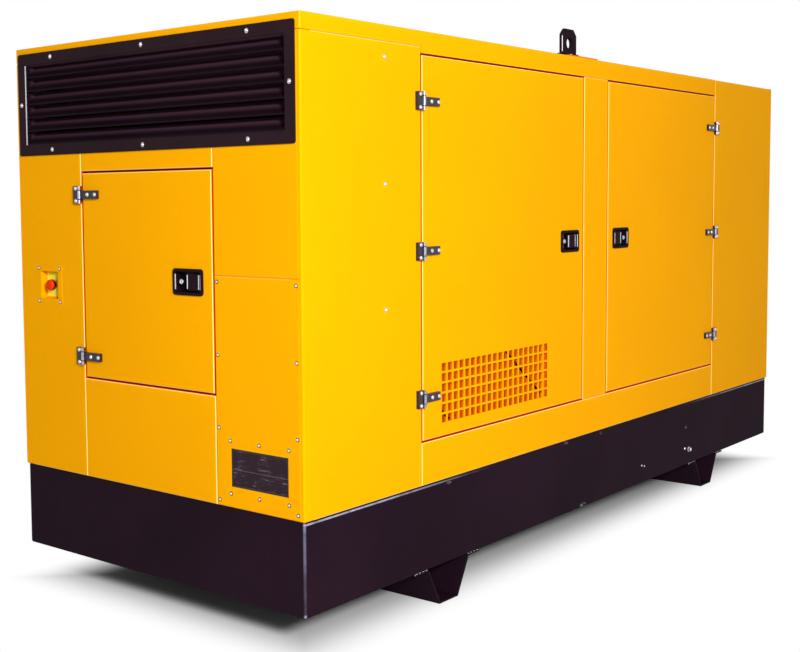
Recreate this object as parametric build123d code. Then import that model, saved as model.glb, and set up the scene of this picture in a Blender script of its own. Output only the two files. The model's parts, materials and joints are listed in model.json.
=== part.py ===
from build123d import *
import os

# Enclosed diesel generator set: a black skid base on two transverse feet and a yellow sound-proof canopy.
# Millimetres. The origin is on the ground under the middle of the set. X runs from the control end to the
# radiator end, the front long side faces -Y, and Z is up.

# Overall sizes
canopy_length = 3900.0
canopy_width = 1440.0
canopy_height = 1588.0
base_height = 313.0
foot_height = 142.0

# Skid base
base_inset = 6.5  # the base stands back from the canopy's faces
rail_width = 80.0
rail_bottom_radius = 8.0
rail_top_radius = 5.0
tank_clearance = 25.0  # underside of the tank above the underside of the rails

# Feet, folded as hat channels
foot_setback = 801.0  # end of the canopy to the middle of a foot
foot_sheet = 6.0
foot_flange_span = 404.0
foot_mouth_span = 264.0
foot_sole_span = 118.0
anchor_setback = 46.0  # end of a foot to its anchor hole
anchor_radius = 9.0

# Sandwich panels and the gaps round the doors
wall = 45.0
door_thickness = 38.0
door_gap = 6.0
seam_radius = 6.0
lid_radius = 3.0
corner_radius = 8.0
corner_wrap = 12.0  # edge of a side panel that shows on the end face
cut_overrun = 5.0
fit_clearance = 0.3

# Long side
control_module = 628.0
door_a_opening = 1162.0
post_width = 209.0
radiator_module = 763.0
sill_height = 154.0
centre_roof_depth = 76.0
control_roof_depth = 54.0
radiator_roof_depth = 45.0

# Control end
cable_panel_width = 388.0
stop_panel_width = 374.0
access_panel_height = 766.0
end_opening_height = 755.0
end_header_height = 106.0  # strip between the end door's opening and the louvre

# Louvres
louvre_margin = 20.0
louvre_drop = 22.0  # top of the canopy to the top of the louvre frame
louvre_height = 380.0
louvre_border = 41.0
louvre_plate = 5.0
louvre_corner_radius = 9.0
blade_count = 6
blade_sheet = 2.5
blade_depth = 44.0
blade_lip = 3.0
cheek_sheet = 3.0
bolt_radius = 7.5
bolt_height = 6.0
bolt_round = 3.0
bolt_inset = 20.0  # edge of a louvre frame to its bolts
bolt_row_shares = (-0.358, 0.0, 0.358)  # places of the bolts along a louvre frame

# Cable outlet
outlet_width = 254.0
outlet_height = 128.0
outlet_setback = 66.0  # front face to the near edge of the outlet
outlet_rise = 71.0  # bottom of the canopy to the bottom of the outlet
flap_sheet = 5.0
flap_depth = 1.5

# Door stops
stop_lap = 25.0  # reach of a stop behind the edge of its door
stop_seat = 20.0  # reach of a stop over the panel that carries it
stop_sheet = 15.0
stop_corner_gap = 1.5

# Hinges
hinge_proud = 12.0  # pin axis in front of the panels
hinge_height = 63.0
hinge_middle = 32.0
hinge_slack = 1.0
hinge_arm = 4.0  # width of the arm that holds a knuckle
hinge_plate_setback = 1.0  # pin axis to the front of the hinge plates
knuckle_radius = 6.5
pin_radius = 3.5
bracket_reach = 36.0
leaf_reach = 96.0
leaf_height = 30.0
side_hinge_rise = 158.0  # bottom of the door's opening to the lowest hinge
side_hinge_drop = 164.0  # top of the door's opening to the highest hinge
side_hinge_count = 3
end_hinge_rise = 82.0
end_hinge_drop = 84.0
end_hinge_count = 2

# Paddle latches
latch_width = 144.0
latch_height = 90.0
latch_corner_radius = 12.0
latch_flange = 6.5
latch_border = 10.0
latch_wall = 2.5
latch_depth = 22.0
latch_edge_radius = 1.2
latch_setback = 115.0  # free edge of the door to the middle of its latch
side_latch_rise = 677.0  # bottom of the door's opening to the middle of the latch
end_latch_rise = 374.0
lock_radius = 9.0
lock_offset = 37.0
lock_recess = 3.0
paddle_pivot_inset = 8.0
paddle_pivot_radius = 2.5
paddle_knuckle_radius = 5.0
paddle_length = 62.0
paddle_height = 56.0
paddle_sheet = 5.0
paddle_lip = 12.0
paddle_grip_radius = 3.5  # rounding of the edge that the fingers pull

# Intake grille in door A
grille_columns = 20
grille_rows = 6
grille_width = 746.0
grille_height = 215.0
grille_bar = 8.0
grille_skin = 3.0
grille_setback = 115.0  # hinge edge of the door to the grille
grille_rise = 49.0  # bottom edge of the door to the grille
grille_pocket_margin = 10.0
baffle_sheet = 3.0
baffle_slot = 12.0
baffle_slot_margin = 6.0  # plate left above and below a slot
baffle_slot_lean = 53.0  # degrees from upright
baffle_slot_places_shares = (-0.068, 0.828)  # middle of a slot along the grille

# Emergency stop
stop_box_size = 146.0
stop_box_sheet = 2.0
stop_box_recess = 102.0
stop_box_depth = 24.0
stop_box_setback = 177.0  # rear face to the middle of the box
stop_box_rise = 701.0
stop_collar_radius = 17.0
stop_collar_height = 3.0
stop_bore_radius = 12.0
stop_stem_radius = 11.6
stop_head_radius = 20.0
stop_head_height = 18.0
stop_head_round = 6.0
stop_head_proud = 7.0  # front of the head before the face of the panel

# Lifting lugs
lug_from_control_end = 1728.0
lug_setback = 45.0  # long face to the middle of the lug
lug_width = 118.0
lug_sheet = 15.0
lug_rise = 101.0
lug_chamfer = 24.0
lug_edge_radius = 2.5
lug_eye_radius = 23.5
lug_eye_rise = 42.0
lug_foot_length = 130.0
lug_foot_width = 28.0
lug_foot_height = 10.0
doubler_length = 240.0
doubler_width = 82.0
doubler_height = 5.0
doubler_overhang = 60.0  # control end of the doubler to the middle of the lug

# Levels and faces
canopy_bottom = foot_height + base_height
canopy_top = canopy_bottom + canopy_height
x_control = -canopy_length / 2
x_radiator = canopy_length / 2
y_front = -canopy_width / 2
y_rear = canopy_width / 2
x_door_a = x_control + control_module
x_post = x_door_a + door_a_opening
x_door_b = x_post + post_width
x_door_b_end = x_radiator - radiator_module
y_wrap_front = y_front + corner_wrap
y_wrap_rear = y_rear - corner_wrap
y_cable = y_front + cable_panel_width
y_stop = y_rear - stop_panel_width
z_sill = canopy_bottom + sill_height
z_header = canopy_top - centre_roof_depth
z_lip = canopy_top - control_roof_depth
z_radiator_roof = canopy_top - radiator_roof_depth
z_access = canopy_bottom + access_panel_height
z_louvre_top = canopy_top - louvre_drop
z_louvre_bottom = z_louvre_top - louvre_height
z_vent_bottom = z_louvre_bottom + louvre_border
z_vent_top = z_louvre_top - louvre_border
z_end_header = z_vent_bottom - end_header_height
z_end_sill = z_end_header - end_opening_height
y_vent_front = y_front + louvre_margin + louvre_border
y_vent_rear = -y_vent_front
x_hinge_a = x_door_a + door_gap / 2
x_hinge_b = x_door_b_end - door_gap / 2
y_hinge_end = y_stop - door_gap / 2
x_latch_a = x_post - door_gap - latch_setback
x_latch_b = x_door_b + door_gap + latch_setback
y_latch_end = y_cable + door_gap + latch_setback
z_side_latch = z_sill + side_latch_rise
z_end_latch = z_end_sill + end_latch_rise


def spread(low, high, count):
    """Evenly spaced places from the lowest to the highest."""
    return [low + (high - low) * i / (count - 1) for i in range(count)]


side_hinge_heights = spread(z_sill + side_hinge_rise, z_header - side_hinge_drop, side_hinge_count)
end_hinge_heights = spread(z_end_sill + end_hinge_rise, z_end_header - end_hinge_drop, end_hinge_count)

# A shape drawn for a front face, with -Y outwards, turns onto the control end with -X outwards
to_end = Rot(0, 0, -90)


def block(x0, x1, y0, y1, z0, z1):
    """A box between two corners."""
    return Pos((x0 + x1) / 2, (y0 + y1) / 2, (z0 + z1) / 2) * Box(x1 - x0, y1 - y0, z1 - z0)


def slab(x0, x1, y0, y1, z0, z1, outward):
    """A sandwich panel with the edges of its outer face rounded. The outward axis points out of that face."""
    body = block(x0, x1, y0, y1, z0, z1)
    return fillet(body.faces().sort_by(outward)[-1].edges(), seam_radius)


def group(solids):
    """Like pieces that share a node."""
    return Compound([solid for shape in solids for solid in shape.solids()])


def to_rear(shape):
    """The same shape on the rear long side."""
    return mirror(shape, about=Plane.XZ)


front = Axis((0, 0, 0), (0, -1, 0))
control = Axis((0, 0, 0), (-1, 0, 0))
radiator = Axis((0, 0, 0), (1, 0, 0))


def base_rails():
    """The four rails of the skid base, mitred at the corners."""
    length = canopy_length - 2 * base_inset
    width = canopy_width - 2 * base_inset
    ring = Pos(0, 0, foot_height + base_height / 2) * Box(length, width, base_height)
    ring = fillet(ring.edges().filter_by(Axis.Z), corner_radius)
    ring = fillet(ring.faces().sort_by(Axis.Z)[0].edges(), rail_bottom_radius)
    ring = fillet(ring.faces().sort_by(Axis.Z)[-1].edges(), rail_top_radius)
    hollow = Box(length - 2 * rail_width, width - 2 * rail_width, base_height + 2 * cut_overrun)
    ring -= Pos(0, 0, foot_height + base_height / 2) * hollow
    half_x, half_y = length / 2, width / 2
    mitre = [
        (-half_x, -half_y),
        (half_x, -half_y),
        (half_x - rail_width, rail_width - half_y),
        (rail_width - half_x, rail_width - half_y),
    ]
    prism = Pos(0, 0, foot_height) * extrude(make_face(Polyline(*mitre, close=True)), base_height)
    front_rail = ring & prism
    rear_rail = to_rear(front_rail)
    ends = [s for s in (ring - prism - to_rear(prism)).solids()]
    return group([front_rail, rear_rail]), group(ends)


def fuel_tank():
    """Closed tank between the rails, whose top is the floor of the canopy."""
    half_x = canopy_length / 2 - base_inset - rail_width
    half_y = canopy_width / 2 - base_inset - rail_width
    return block(-half_x, half_x, -half_y, half_y, foot_height + tank_clearance, canopy_bottom)


def foot(x_middle):
    """A folded hat channel across the set, open at both ends, with two anchor holes in its sole."""
    flange, mouth, sole = foot_flange_span / 2, foot_mouth_span / 2, foot_sole_span / 2
    right = [
        (sole, 0),
        (mouth, foot_height - foot_sheet),
        (flange, foot_height - foot_sheet),
        (flange, foot_height),
        (mouth - foot_sheet, foot_height),
        (sole - foot_sheet, foot_sheet),
    ]
    outline = right + [(-x, z) for x, z in reversed(right)]
    half_y = canopy_width / 2 - base_inset
    body = extrude(Plane.XZ * make_face(Polyline(*outline, close=True)), half_y, both=True)
    for y in (-half_y + anchor_setback, half_y - anchor_setback):
        body -= Pos(0, y, 0) * Cylinder(anchor_radius, foot_sheet * 2 + cut_overrun)
    return Pos(x_middle, 0, 0) * body


def control_side_panel():
    """Front side of the control end, whose edge wraps onto the end face."""
    body = block(x_control, x_door_a, y_front, y_front + wall, canopy_bottom, z_lip)
    body = fillet(body.edges().filter_by(Axis.Z).group_by(Axis.X)[0].sort_by(front)[-1], corner_radius)
    body = fillet(body.faces().sort_by(front)[-1].edges().sort_by(Axis.X)[1:], seam_radius)
    return body - block(
        x_control - cut_overrun,
        x_control + wall,
        y_wrap_front,
        y_front + wall + cut_overrun,
        canopy_bottom - cut_overrun,
        z_lip + cut_overrun,
    )


def radiator_side_panel():
    """Front side of the radiator end, up to the roof's top edge."""
    body = block(x_door_b_end, x_radiator, y_front, y_front + wall, canopy_bottom, canopy_top)
    body = fillet(body.edges().filter_by(Axis.Z).group_by(Axis.X)[-1].sort_by(front)[-1], corner_radius)
    body = fillet(body.faces().sort_by(front)[-1].edges().sort_by(Axis.X)[:-1], seam_radius)
    return body - block(
        x_radiator - wall,
        x_radiator + cut_overrun,
        y_wrap_front,
        y_front + wall + cut_overrun,
        canopy_bottom - cut_overrun,
        z_radiator_roof,
    )


def control_roof():
    """Lid of the control end, with its lip showing on three sides."""
    body = block(x_control, x_door_a, y_front, y_rear, z_lip, canopy_top)
    body = fillet(body.edges().filter_by(Axis.Z).group_by(Axis.X)[0], corner_radius)
    body = fillet(body.faces().sort_by(Axis.Z)[-1].edges(), lid_radius)
    return fillet(body.faces().sort_by(Axis.Z)[0].edges(), lid_radius)


def centre_roof():
    """Roof over the side doors, whose edge is the doors' header."""
    body = block(x_door_a, x_door_b_end, y_front, y_rear, z_header, canopy_top)
    long_edges = body.edges().filter_by(Axis.X)
    across = body.edges().filter_by(Axis.Y).group_by(Axis.Z)[-1]
    return fillet(long_edges + across, lid_radius)


def radiator_roof():
    """Roof between the side panels of the radiator end."""
    body = block(x_door_b_end, x_radiator, y_front + wall, y_rear - wall, z_radiator_roof, canopy_top)
    return fillet(body.faces().sort_by(Axis.Z)[-1].edges(), lid_radius)


def vent(x0, x1):
    """The hole behind a louvre, open upwards to the edge of the roof."""
    return block(x0, x1, y_vent_front, y_vent_rear, z_vent_bottom, canopy_top + cut_overrun)


def stop_panel():
    """Panel of the control end that holds the emergency stop."""
    body = slab(x_control, x_control + wall, y_stop, y_wrap_rear, canopy_bottom, z_lip, control)
    body -= vent(x_control - cut_overrun, x_control + wall + cut_overrun)
    half = stop_box_recess / 2 + stop_box_sheet + fit_clearance
    depth = stop_box_depth + stop_box_sheet + fit_clearance
    pocket = block(-half, half, -cut_overrun, depth, -half, half)
    pocket += Pos(0, wall / 2, 0) * Rot(90, 0, 0) * Cylinder(stop_bore_radius, wall + 2 * cut_overrun)
    return body - stop_place * to_end * pocket


def cable_upper_panel():
    """Panel above the cable access panel."""
    body = slab(x_control, x_control + wall, y_wrap_front, y_cable, z_access, z_lip, control)
    return body - vent(x_control - cut_overrun, x_control + wall + cut_overrun)


def outlet_hole(x0, x1):
    """The cable outlet between two depths."""
    y0 = y_front + outlet_setback
    z0 = canopy_bottom + outlet_rise
    return block(x0, x1, y0, y0 + outlet_width, z0, z0 + outlet_height)


def cable_access_panel():
    """Bolted panel with the cable outlet."""
    body = slab(x_control, x_control + wall, y_wrap_front, y_cable, canopy_bottom, z_access, control)
    return body - outlet_hole(x_control - cut_overrun, x_control + wall + cut_overrun)


def outlet_flaps():
    """Two rubber flaps that close the cable outlet and meet at its middle."""
    x0 = x_control + flap_depth
    y0 = y_front + outlet_setback + fit_clearance
    y1 = y0 + outlet_width - 2 * fit_clearance
    z0 = canopy_bottom + outlet_rise + fit_clearance
    z1 = z0 + outlet_height - 2 * fit_clearance
    z_middle = (z0 + z1) / 2
    upper = block(x0, x0 + flap_sheet, y0, y1, z_middle + fit_clearance / 2, z1)
    lower = block(x0, x0 + flap_sheet, y0, y1, z0, z_middle - fit_clearance / 2)
    return group([upper, lower])


def end_strip(z0, z1):
    """A panel of the control end above or below the end door."""
    return slab(x_control, x_control + wall, y_cable, y_stop, z0, z1, control)


def radiator_end_wall():
    """Wall of the radiator end, up to its louvre."""
    body = slab(
        x_radiator - wall, x_radiator, y_wrap_front, y_wrap_rear, canopy_bottom, z_radiator_roof, radiator
    )
    return body - vent(x_radiator - wall - cut_overrun, x_radiator + cut_overrun)


def louvre_frame():
    """Flat black frame bolted over the vent of the control end."""
    body = block(
        x_control - louvre_plate,
        x_control,
        y_front + louvre_margin,
        y_rear - louvre_margin,
        z_louvre_bottom,
        z_louvre_top,
    )
    body = fillet(body.edges().filter_by(Axis.X), louvre_corner_radius)
    return body - block(
        x_control - louvre_plate - cut_overrun,
        x_control + cut_overrun,
        y_vent_front,
        y_vent_rear,
        z_vent_bottom,
        z_vent_top,
    )


def louvre_blades():
    """Sloping weather blades of the control end, carried by a cheek at each end."""
    pitch = (z_vent_top - z_vent_bottom) / blade_count
    section = [
        (0, 0),
        (blade_sheet, 0),
        (blade_sheet, blade_lip),
        (blade_depth, blade_lip + blade_depth - blade_sheet),
        (blade_depth, blade_lip + blade_depth),
        (0, blade_lip + blade_sheet),
    ]
    blade = extrude(Plane.XZ * make_face(Polyline(*section, close=True)), y_vent_rear, both=True)
    blades = [Pos(x_control, 0, z_vent_bottom + i * pitch) * blade for i in range(blade_count)]
    z_blades_top = z_vent_bottom + (blade_count - 1) * pitch + blade_lip + blade_depth
    cheek = block(
        x_control,
        x_control + blade_depth,
        y_vent_front,
        y_vent_front + cheek_sheet,
        z_vent_bottom,
        z_blades_top,
    )
    return Part() + blades + [cheek, to_rear(cheek)]


def louvre_bolts():
    """Domed bolt heads round the louvre frame of the control end."""
    head = Cylinder(bolt_radius, bolt_height)
    head = fillet(head.edges().sort_by(Axis.Z)[-1], bolt_round)
    head = Pos(x_control - louvre_plate - bolt_height / 2, 0, 0) * Rot(0, -90, 0) * head
    width = canopy_width - 2 * louvre_margin
    rows = (z_louvre_bottom + bolt_inset, z_louvre_top - bolt_inset)
    spots = [(share * width, z) for share in bolt_row_shares for z in rows]
    y_side = width / 2 - bolt_inset
    spots += [(y, (z_louvre_bottom + z_louvre_top) / 2) for y in (-y_side, y_side)]
    return [Pos(0, y, z) * head for y, z in spots]


def to_radiator(shape):
    """The same shape on the radiator end."""
    return mirror(shape, about=Plane.YZ)


def stops_round(x0, x1, z0, z1, z_cap):
    """Four stop bars behind the opening of a front door. A bar under the roof stays below it."""
    y0, y1 = y_front + wall, y_front + wall + stop_sheet
    z_low, z_high = z0 - stop_seat, min(z1 + stop_seat, z_cap)
    left = block(x0 - stop_seat, x0 + stop_lap, y0, y1, z_low, z_high)
    right = block(x1 - stop_lap, x1 + stop_seat, y0, y1, z_low, z_high)
    inner0 = x0 + stop_lap + stop_corner_gap
    inner1 = x1 - stop_lap - stop_corner_gap
    top = block(inner0, inner1, y0, y1, z1 - stop_lap, z_high)
    bottom = block(inner0, inner1, y0, y1, z_low, z0 + stop_lap)
    return [left, right, top, bottom]


def door_stops():
    """Stop bars inside the side doors, front and rear, and inside the end door."""
    bars = stops_round(x_door_a, x_post, z_sill, z_header, z_header)
    bars += stops_round(x_door_b, x_door_b_end, z_sill, z_header, z_header)
    bars += [to_rear(bar) for bar in bars]
    end_bars = stops_round(-y_stop, -y_cable, z_end_sill, z_end_header, z_vent_bottom)
    shift = Pos(x_control - y_front, 0, 0)
    return group(bars + [shift * to_end * bar for bar in end_bars])


def hinge_bracket():
    """Fixed half of a hinge round its pin at the origin. The panel is at +Y and the door at +X."""
    half = hinge_height / 2
    end_knuckle = (hinge_height - hinge_middle) / 2 - hinge_slack
    inner = -knuckle_radius - hinge_slack
    body = block(-bracket_reach, inner, hinge_plate_setback, hinge_proud, -half, half)
    body += Cylinder(pin_radius, hinge_height)
    for z0 in (-half, half - end_knuckle):
        body += Pos(0, 0, z0 + end_knuckle / 2) * Cylinder(knuckle_radius, end_knuckle)
        body += block(inner - hinge_arm, 0, 0, hinge_proud, z0, z0 + end_knuckle)
    return body


def hinge_leaf():
    """Moving half of a hinge round its pin at the origin."""
    inner = knuckle_radius + hinge_slack
    half = hinge_middle / 2
    body = block(inner, leaf_reach, hinge_plate_setback, hinge_proud, -leaf_height / 2, leaf_height / 2)
    body += Cylinder(knuckle_radius, hinge_middle)
    body += block(0, inner + hinge_arm, 0, hinge_proud, -half, half)
    return body - Cylinder(pin_radius + fit_clearance, hinge_middle + cut_overrun)


def on_door_a(shape):
    """Copies of a hinge piece along door A."""
    return [Pos(x_hinge_a, y_front - hinge_proud, z) * shape for z in side_hinge_heights]


def on_door_b(shape):
    """Copies of a hinge piece along door B, which opens the other way."""
    turned = mirror(shape, about=Plane.YZ)
    return [Pos(x_hinge_b, y_front - hinge_proud, z) * turned for z in side_hinge_heights]


def on_end_door(shape):
    """Copies of a hinge piece along the end door."""
    return [Pos(x_control - hinge_proud, y_hinge_end, z) * to_end * shape for z in end_hinge_heights]


def latch_pocket():
    """The hole for a latch in a door, with the door's face at Y zero."""
    half_x = latch_width / 2 - latch_border + latch_wall + fit_clearance
    half_z = latch_height / 2 - latch_border + latch_wall + fit_clearance
    depth = latch_depth + latch_wall + fit_clearance
    return block(-half_x, half_x, -cut_overrun, depth, -half_z, half_z)


paddle_pivot = Pos(latch_width / 2 - latch_border - paddle_pivot_inset, paddle_knuckle_radius, 0)


def latch_dish():
    """Dished body of a latch with its lock and pivot pin. The door's free edge is at +X."""
    half_x, half_z = latch_width / 2, latch_height / 2
    body = block(-half_x, half_x, -latch_flange, 0, -half_z, half_z)
    body = fillet(body.edges().filter_by(Axis.Y), latch_corner_radius)
    in_x, in_z = half_x - latch_border, half_z - latch_border
    body += block(
        -in_x - latch_wall,
        in_x + latch_wall,
        -latch_flange,
        latch_depth + latch_wall,
        -in_z - latch_wall,
        in_z + latch_wall,
    )
    recess = block(-in_x, in_x, -latch_flange - cut_overrun, latch_depth, -in_z, in_z)
    body -= fillet(recess.edges().filter_by(Axis.Y), latch_corner_radius - latch_wall)
    body = fillet(body.faces().sort_by(front)[-1].edges(), latch_edge_radius)
    lock_length = latch_depth - lock_recess
    lock = Pos(-lock_offset, lock_recess + lock_length / 2, 0) * Rot(90, 0, 0)
    body += lock * Cylinder(lock_radius, lock_length)
    return body + paddle_pivot * Cylinder(paddle_pivot_radius, 2 * in_z)


def latch_paddle():
    """Pull paddle of a latch, turning on the latch's pin."""
    half = paddle_height / 2
    x_pivot = paddle_pivot.position.X
    x_free = x_pivot - paddle_length
    body = block(x_free, x_pivot, 0, paddle_sheet, -half, half)
    body += block(x_free, x_free + paddle_sheet, 0, paddle_lip, -half, half)
    body = fillet(body.faces().sort_by(front)[-1].edges().sort_by(Axis.X)[0], paddle_grip_radius)
    body += paddle_pivot * Cylinder(paddle_knuckle_radius, paddle_height)
    return body - paddle_pivot * Cylinder(paddle_pivot_radius + fit_clearance, paddle_height + cut_overrun)


place_a = Pos(x_latch_a, y_front, z_side_latch)
place_b = Pos(x_latch_b, y_front, z_side_latch) * Rot(0, 180, 0)
place_end = Pos(x_control, y_latch_end, z_end_latch) * to_end
stop_place = Pos(x_control, y_rear - stop_box_setback, canopy_bottom + stop_box_rise)

# Grille and its pocket in door A
x_grille = x_door_a + door_gap + grille_setback
z_grille = z_sill + door_gap + grille_rise
grille_pocket_y = (y_front + grille_skin, y_front + door_thickness)


def grille_pocket(clearance):
    """The room behind the grille, between the door's skin and its back."""
    margin = grille_pocket_margin - clearance
    return block(
        x_grille - margin,
        x_grille + grille_width + margin,
        *grille_pocket_y,
        z_grille - margin,
        z_grille + grille_height + margin,
    )


def door_a():
    """Side door with the intake grille, hinged at the control end."""
    body = slab(
        x_door_a + door_gap,
        x_post - door_gap,
        y_front,
        y_front + door_thickness,
        z_sill + door_gap,
        z_header - door_gap,
        front,
    )
    pitch_x = (grille_width + grille_bar) / grille_columns
    pitch_z = (grille_height + grille_bar) / grille_rows
    hole = Box(pitch_x - grille_bar, wall, pitch_z - grille_bar)
    middle = Pos(x_grille + grille_width / 2, y_front, z_grille + grille_height / 2)
    spots = GridLocations(pitch_x, pitch_z, grille_columns, grille_rows)
    holes = [middle * Pos(spot.position.X, 0, spot.position.Y) * hole for spot in spots]
    return body - grille_pocket(0) - holes - place_a * latch_pocket()


def door_a_baffle():
    """Plate at the back of the grille's pocket, with two slanting slots."""
    plate = grille_pocket(fit_clearance)
    box = plate.bounding_box()
    plate &= block(
        box.min.X, box.max.X, box.max.Y - baffle_sheet, box.max.Y, box.min.Z, box.max.Z
    )
    band = block(
        box.min.X - cut_overrun,
        box.max.X,
        box.max.Y - baffle_sheet - cut_overrun,
        box.max.Y + cut_overrun,
        box.min.Z + baffle_slot_margin,
        box.max.Z - baffle_slot_margin,
    )
    slot = Rot(0, -baffle_slot_lean, 0) * Box(baffle_slot, wall, 2 * grille_height)
    for share in baffle_slot_places_shares:
        place = Pos(x_grille + share * grille_width, box.max.Y, z_grille + grille_height / 2)
        plate -= place * slot & band
    return plate


def door_b():
    """Side door hinged at the radiator end."""
    body = slab(
        x_door_b + door_gap,
        x_door_b_end - door_gap,
        y_front,
        y_front + door_thickness,
        z_sill + door_gap,
        z_header - door_gap,
        front,
    )
    return body - place_b * latch_pocket()


def end_door():
    """Door of the control end, over the controls."""
    body = slab(
        x_control,
        x_control + door_thickness,
        y_cable + door_gap,
        y_stop - door_gap,
        z_end_sill + door_gap,
        z_end_header - door_gap,
        control,
    )
    return body - place_end * latch_pocket()


def stop_box():
    """Recessed steel box of the emergency stop, with the face of the panel at Y zero."""
    half = stop_box_size / 2
    inner = stop_box_recess / 2
    outer = inner + stop_box_sheet
    floor = stop_box_depth
    body = block(-half, half, -stop_box_sheet, 0, -half, half)
    body += block(-outer, outer, -stop_box_sheet, floor + stop_box_sheet, -outer, outer)
    body -= block(-inner, inner, -stop_box_sheet - cut_overrun, floor, -inner, inner)
    collar = Pos(0, floor - stop_collar_height / 2, 0) * Rot(90, 0, 0)
    body += collar * Cylinder(stop_collar_radius, stop_collar_height)
    return body - Pos(0, floor, 0) * Rot(90, 0, 0) * Cylinder(stop_bore_radius, stop_box_depth / 2)


def stop_button():
    """Mushroom button of the emergency stop on its stem."""
    back = stop_box_depth + stop_box_sheet
    head_back = stop_head_height - stop_head_proud
    head = Rot(90, 0, 0) * Cylinder(stop_head_radius, stop_head_height)
    head = fillet(head.edges().sort_by(front)[-1], stop_head_round)
    head = Pos(0, stop_head_height / 2 - stop_head_proud, 0) * head
    stem = Rot(90, 0, 0) * Cylinder(stop_stem_radius, back - head_back)
    return head + Pos(0, (back + head_back) / 2, 0) * stem


def lifting_lug():
    """Eye plate on its foot, above the front edge of the roof."""
    z_foot = canopy_top + doubler_height
    z_plate = z_foot + lug_foot_height
    foot_plate = block(
        -lug_foot_length / 2, lug_foot_length / 2, -lug_foot_width / 2, lug_foot_width / 2, z_foot, z_plate
    )
    eye = block(
        -lug_width / 2, lug_width / 2, -lug_sheet / 2, lug_sheet / 2, z_plate, z_plate + lug_rise
    )
    eye = chamfer(eye.edges().filter_by(Axis.Y).group_by(Axis.Z)[-1], lug_chamfer)
    faces = eye.faces().sort_by(front)
    rims = [edge for face in (faces[0], faces[-1]) for edge in face.edges().sort_by(Axis.Z)[1:]]
    eye = fillet(rims, lug_edge_radius)
    hole = Pos(0, 0, z_plate + lug_eye_rise) * Rot(90, 0, 0) * Cylinder(lug_eye_radius, lug_foot_width)
    return Pos(x_control + lug_from_control_end, y_front + lug_setback, 0) * (foot_plate + eye - hole)


def lug_doubler():
    """Plate on the roof under a lug, which spreads its pull towards the door post."""
    x0 = x_control + lug_from_control_end - doubler_overhang
    y0 = y_front + lug_setback - doubler_width / 2
    return block(x0, x0 + doubler_length, y0, y0 + doubler_width, canopy_top, canopy_top + doubler_height)


side_rails, end_rails = base_rails()
front_post = slab(x_post, x_door_b, y_front, y_front + wall, z_sill, z_header, front)
front_sill = slab(x_door_a, x_door_b_end, y_front, y_front + wall, canopy_bottom, z_sill, front)
bracket, leaf, dish, paddle = hinge_bracket(), hinge_leaf(), latch_dish(), latch_paddle()
brackets_front = on_door_a(bracket) + on_door_b(bracket)
leaves_a, leaves_b = on_door_a(leaf), on_door_b(leaf)
side_fittings = brackets_front + leaves_a + leaves_b
side_fittings += [place * piece for place in (place_a, place_b) for piece in (dish, paddle)]
panel_control, panel_radiator = control_side_panel(), radiator_side_panel()
frame_plate, blades, frame_bolts = louvre_frame(), louvre_blades(), louvre_bolts()
side_door_a, side_door_b, baffle = door_a(), door_b(), door_a_baffle()
lug, doubler = lifting_lug(), lug_doubler()

nodes = {
    "base_side_rails": side_rails,
    "base_end_rails": end_rails,
    "fuel_tank": fuel_tank(),
    "feet": group([foot(x_control + foot_setback), foot(x_radiator - foot_setback)]),
    "control_end_roof": control_roof(),
    "centre_roof": centre_roof(),
    "radiator_end_roof": radiator_roof(),
    "control_side_panel_front": panel_control,
    "control_side_panel_rear": to_rear(panel_control),
    "radiator_side_panel_front": panel_radiator,
    "radiator_side_panel_rear": to_rear(panel_radiator),
    "door_posts": group([front_post, to_rear(front_post)]),
    "door_sills": group([front_sill, to_rear(front_sill)]),
    "door_stops": door_stops(),
    "emergency_stop_panel": stop_panel(),
    "cable_upper_panel": cable_upper_panel(),
    "cable_access_panel": cable_access_panel(),
    "cable_outlet_flaps": outlet_flaps(),
    "end_door_header": end_strip(z_end_header, z_vent_bottom),
    "end_door_sill": end_strip(canopy_bottom, z_end_sill),
    "radiator_end_wall": radiator_end_wall(),
    "control_louvre_frame": frame_plate,
    "control_louvre_blades": blades,
    "radiator_louvre_frame": to_radiator(frame_plate),
    "radiator_louvre_blades": to_radiator(blades),
    "louvre_bolts": group(frame_bolts + [to_radiator(bolt) for bolt in frame_bolts]),
    "lifting_lugs": group([lug, to_rear(lug)]),
    "lug_doublers": group([doubler, to_rear(doubler)]),
    "hinge_brackets": group(brackets_front + on_end_door(bracket)),
    "rear_door_a": group([to_rear(side_door_a), to_rear(baffle)]),
    "rear_door_b": to_rear(side_door_b),
    "rear_door_fittings": group([to_rear(piece) for piece in side_fittings]),
    "side_door_a": side_door_a,
    "side_door_a_baffle": baffle,
    "side_door_a_hinge_leaves": group(leaves_a),
    "side_door_a_latch": place_a * dish,
    "side_door_a_paddle": place_a * paddle,
    "side_door_b": side_door_b,
    "side_door_b_hinge_leaves": group(leaves_b),
    "side_door_b_latch": place_b * dish,
    "side_door_b_paddle": place_b * paddle,
    "end_door": end_door(),
    "end_door_hinge_leaves": group(on_end_door(leaf)),
    "end_door_latch": place_end * dish,
    "end_door_paddle": place_end * paddle,
    "emergency_stop_box": stop_place * to_end * stop_box(),
    "emergency_stop_button": stop_place * to_end * stop_button(),
}

os.makedirs("parts", exist_ok=True)
for name, shape in nodes.items():
    export_step(shape, f"parts/{name}.step")
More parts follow.
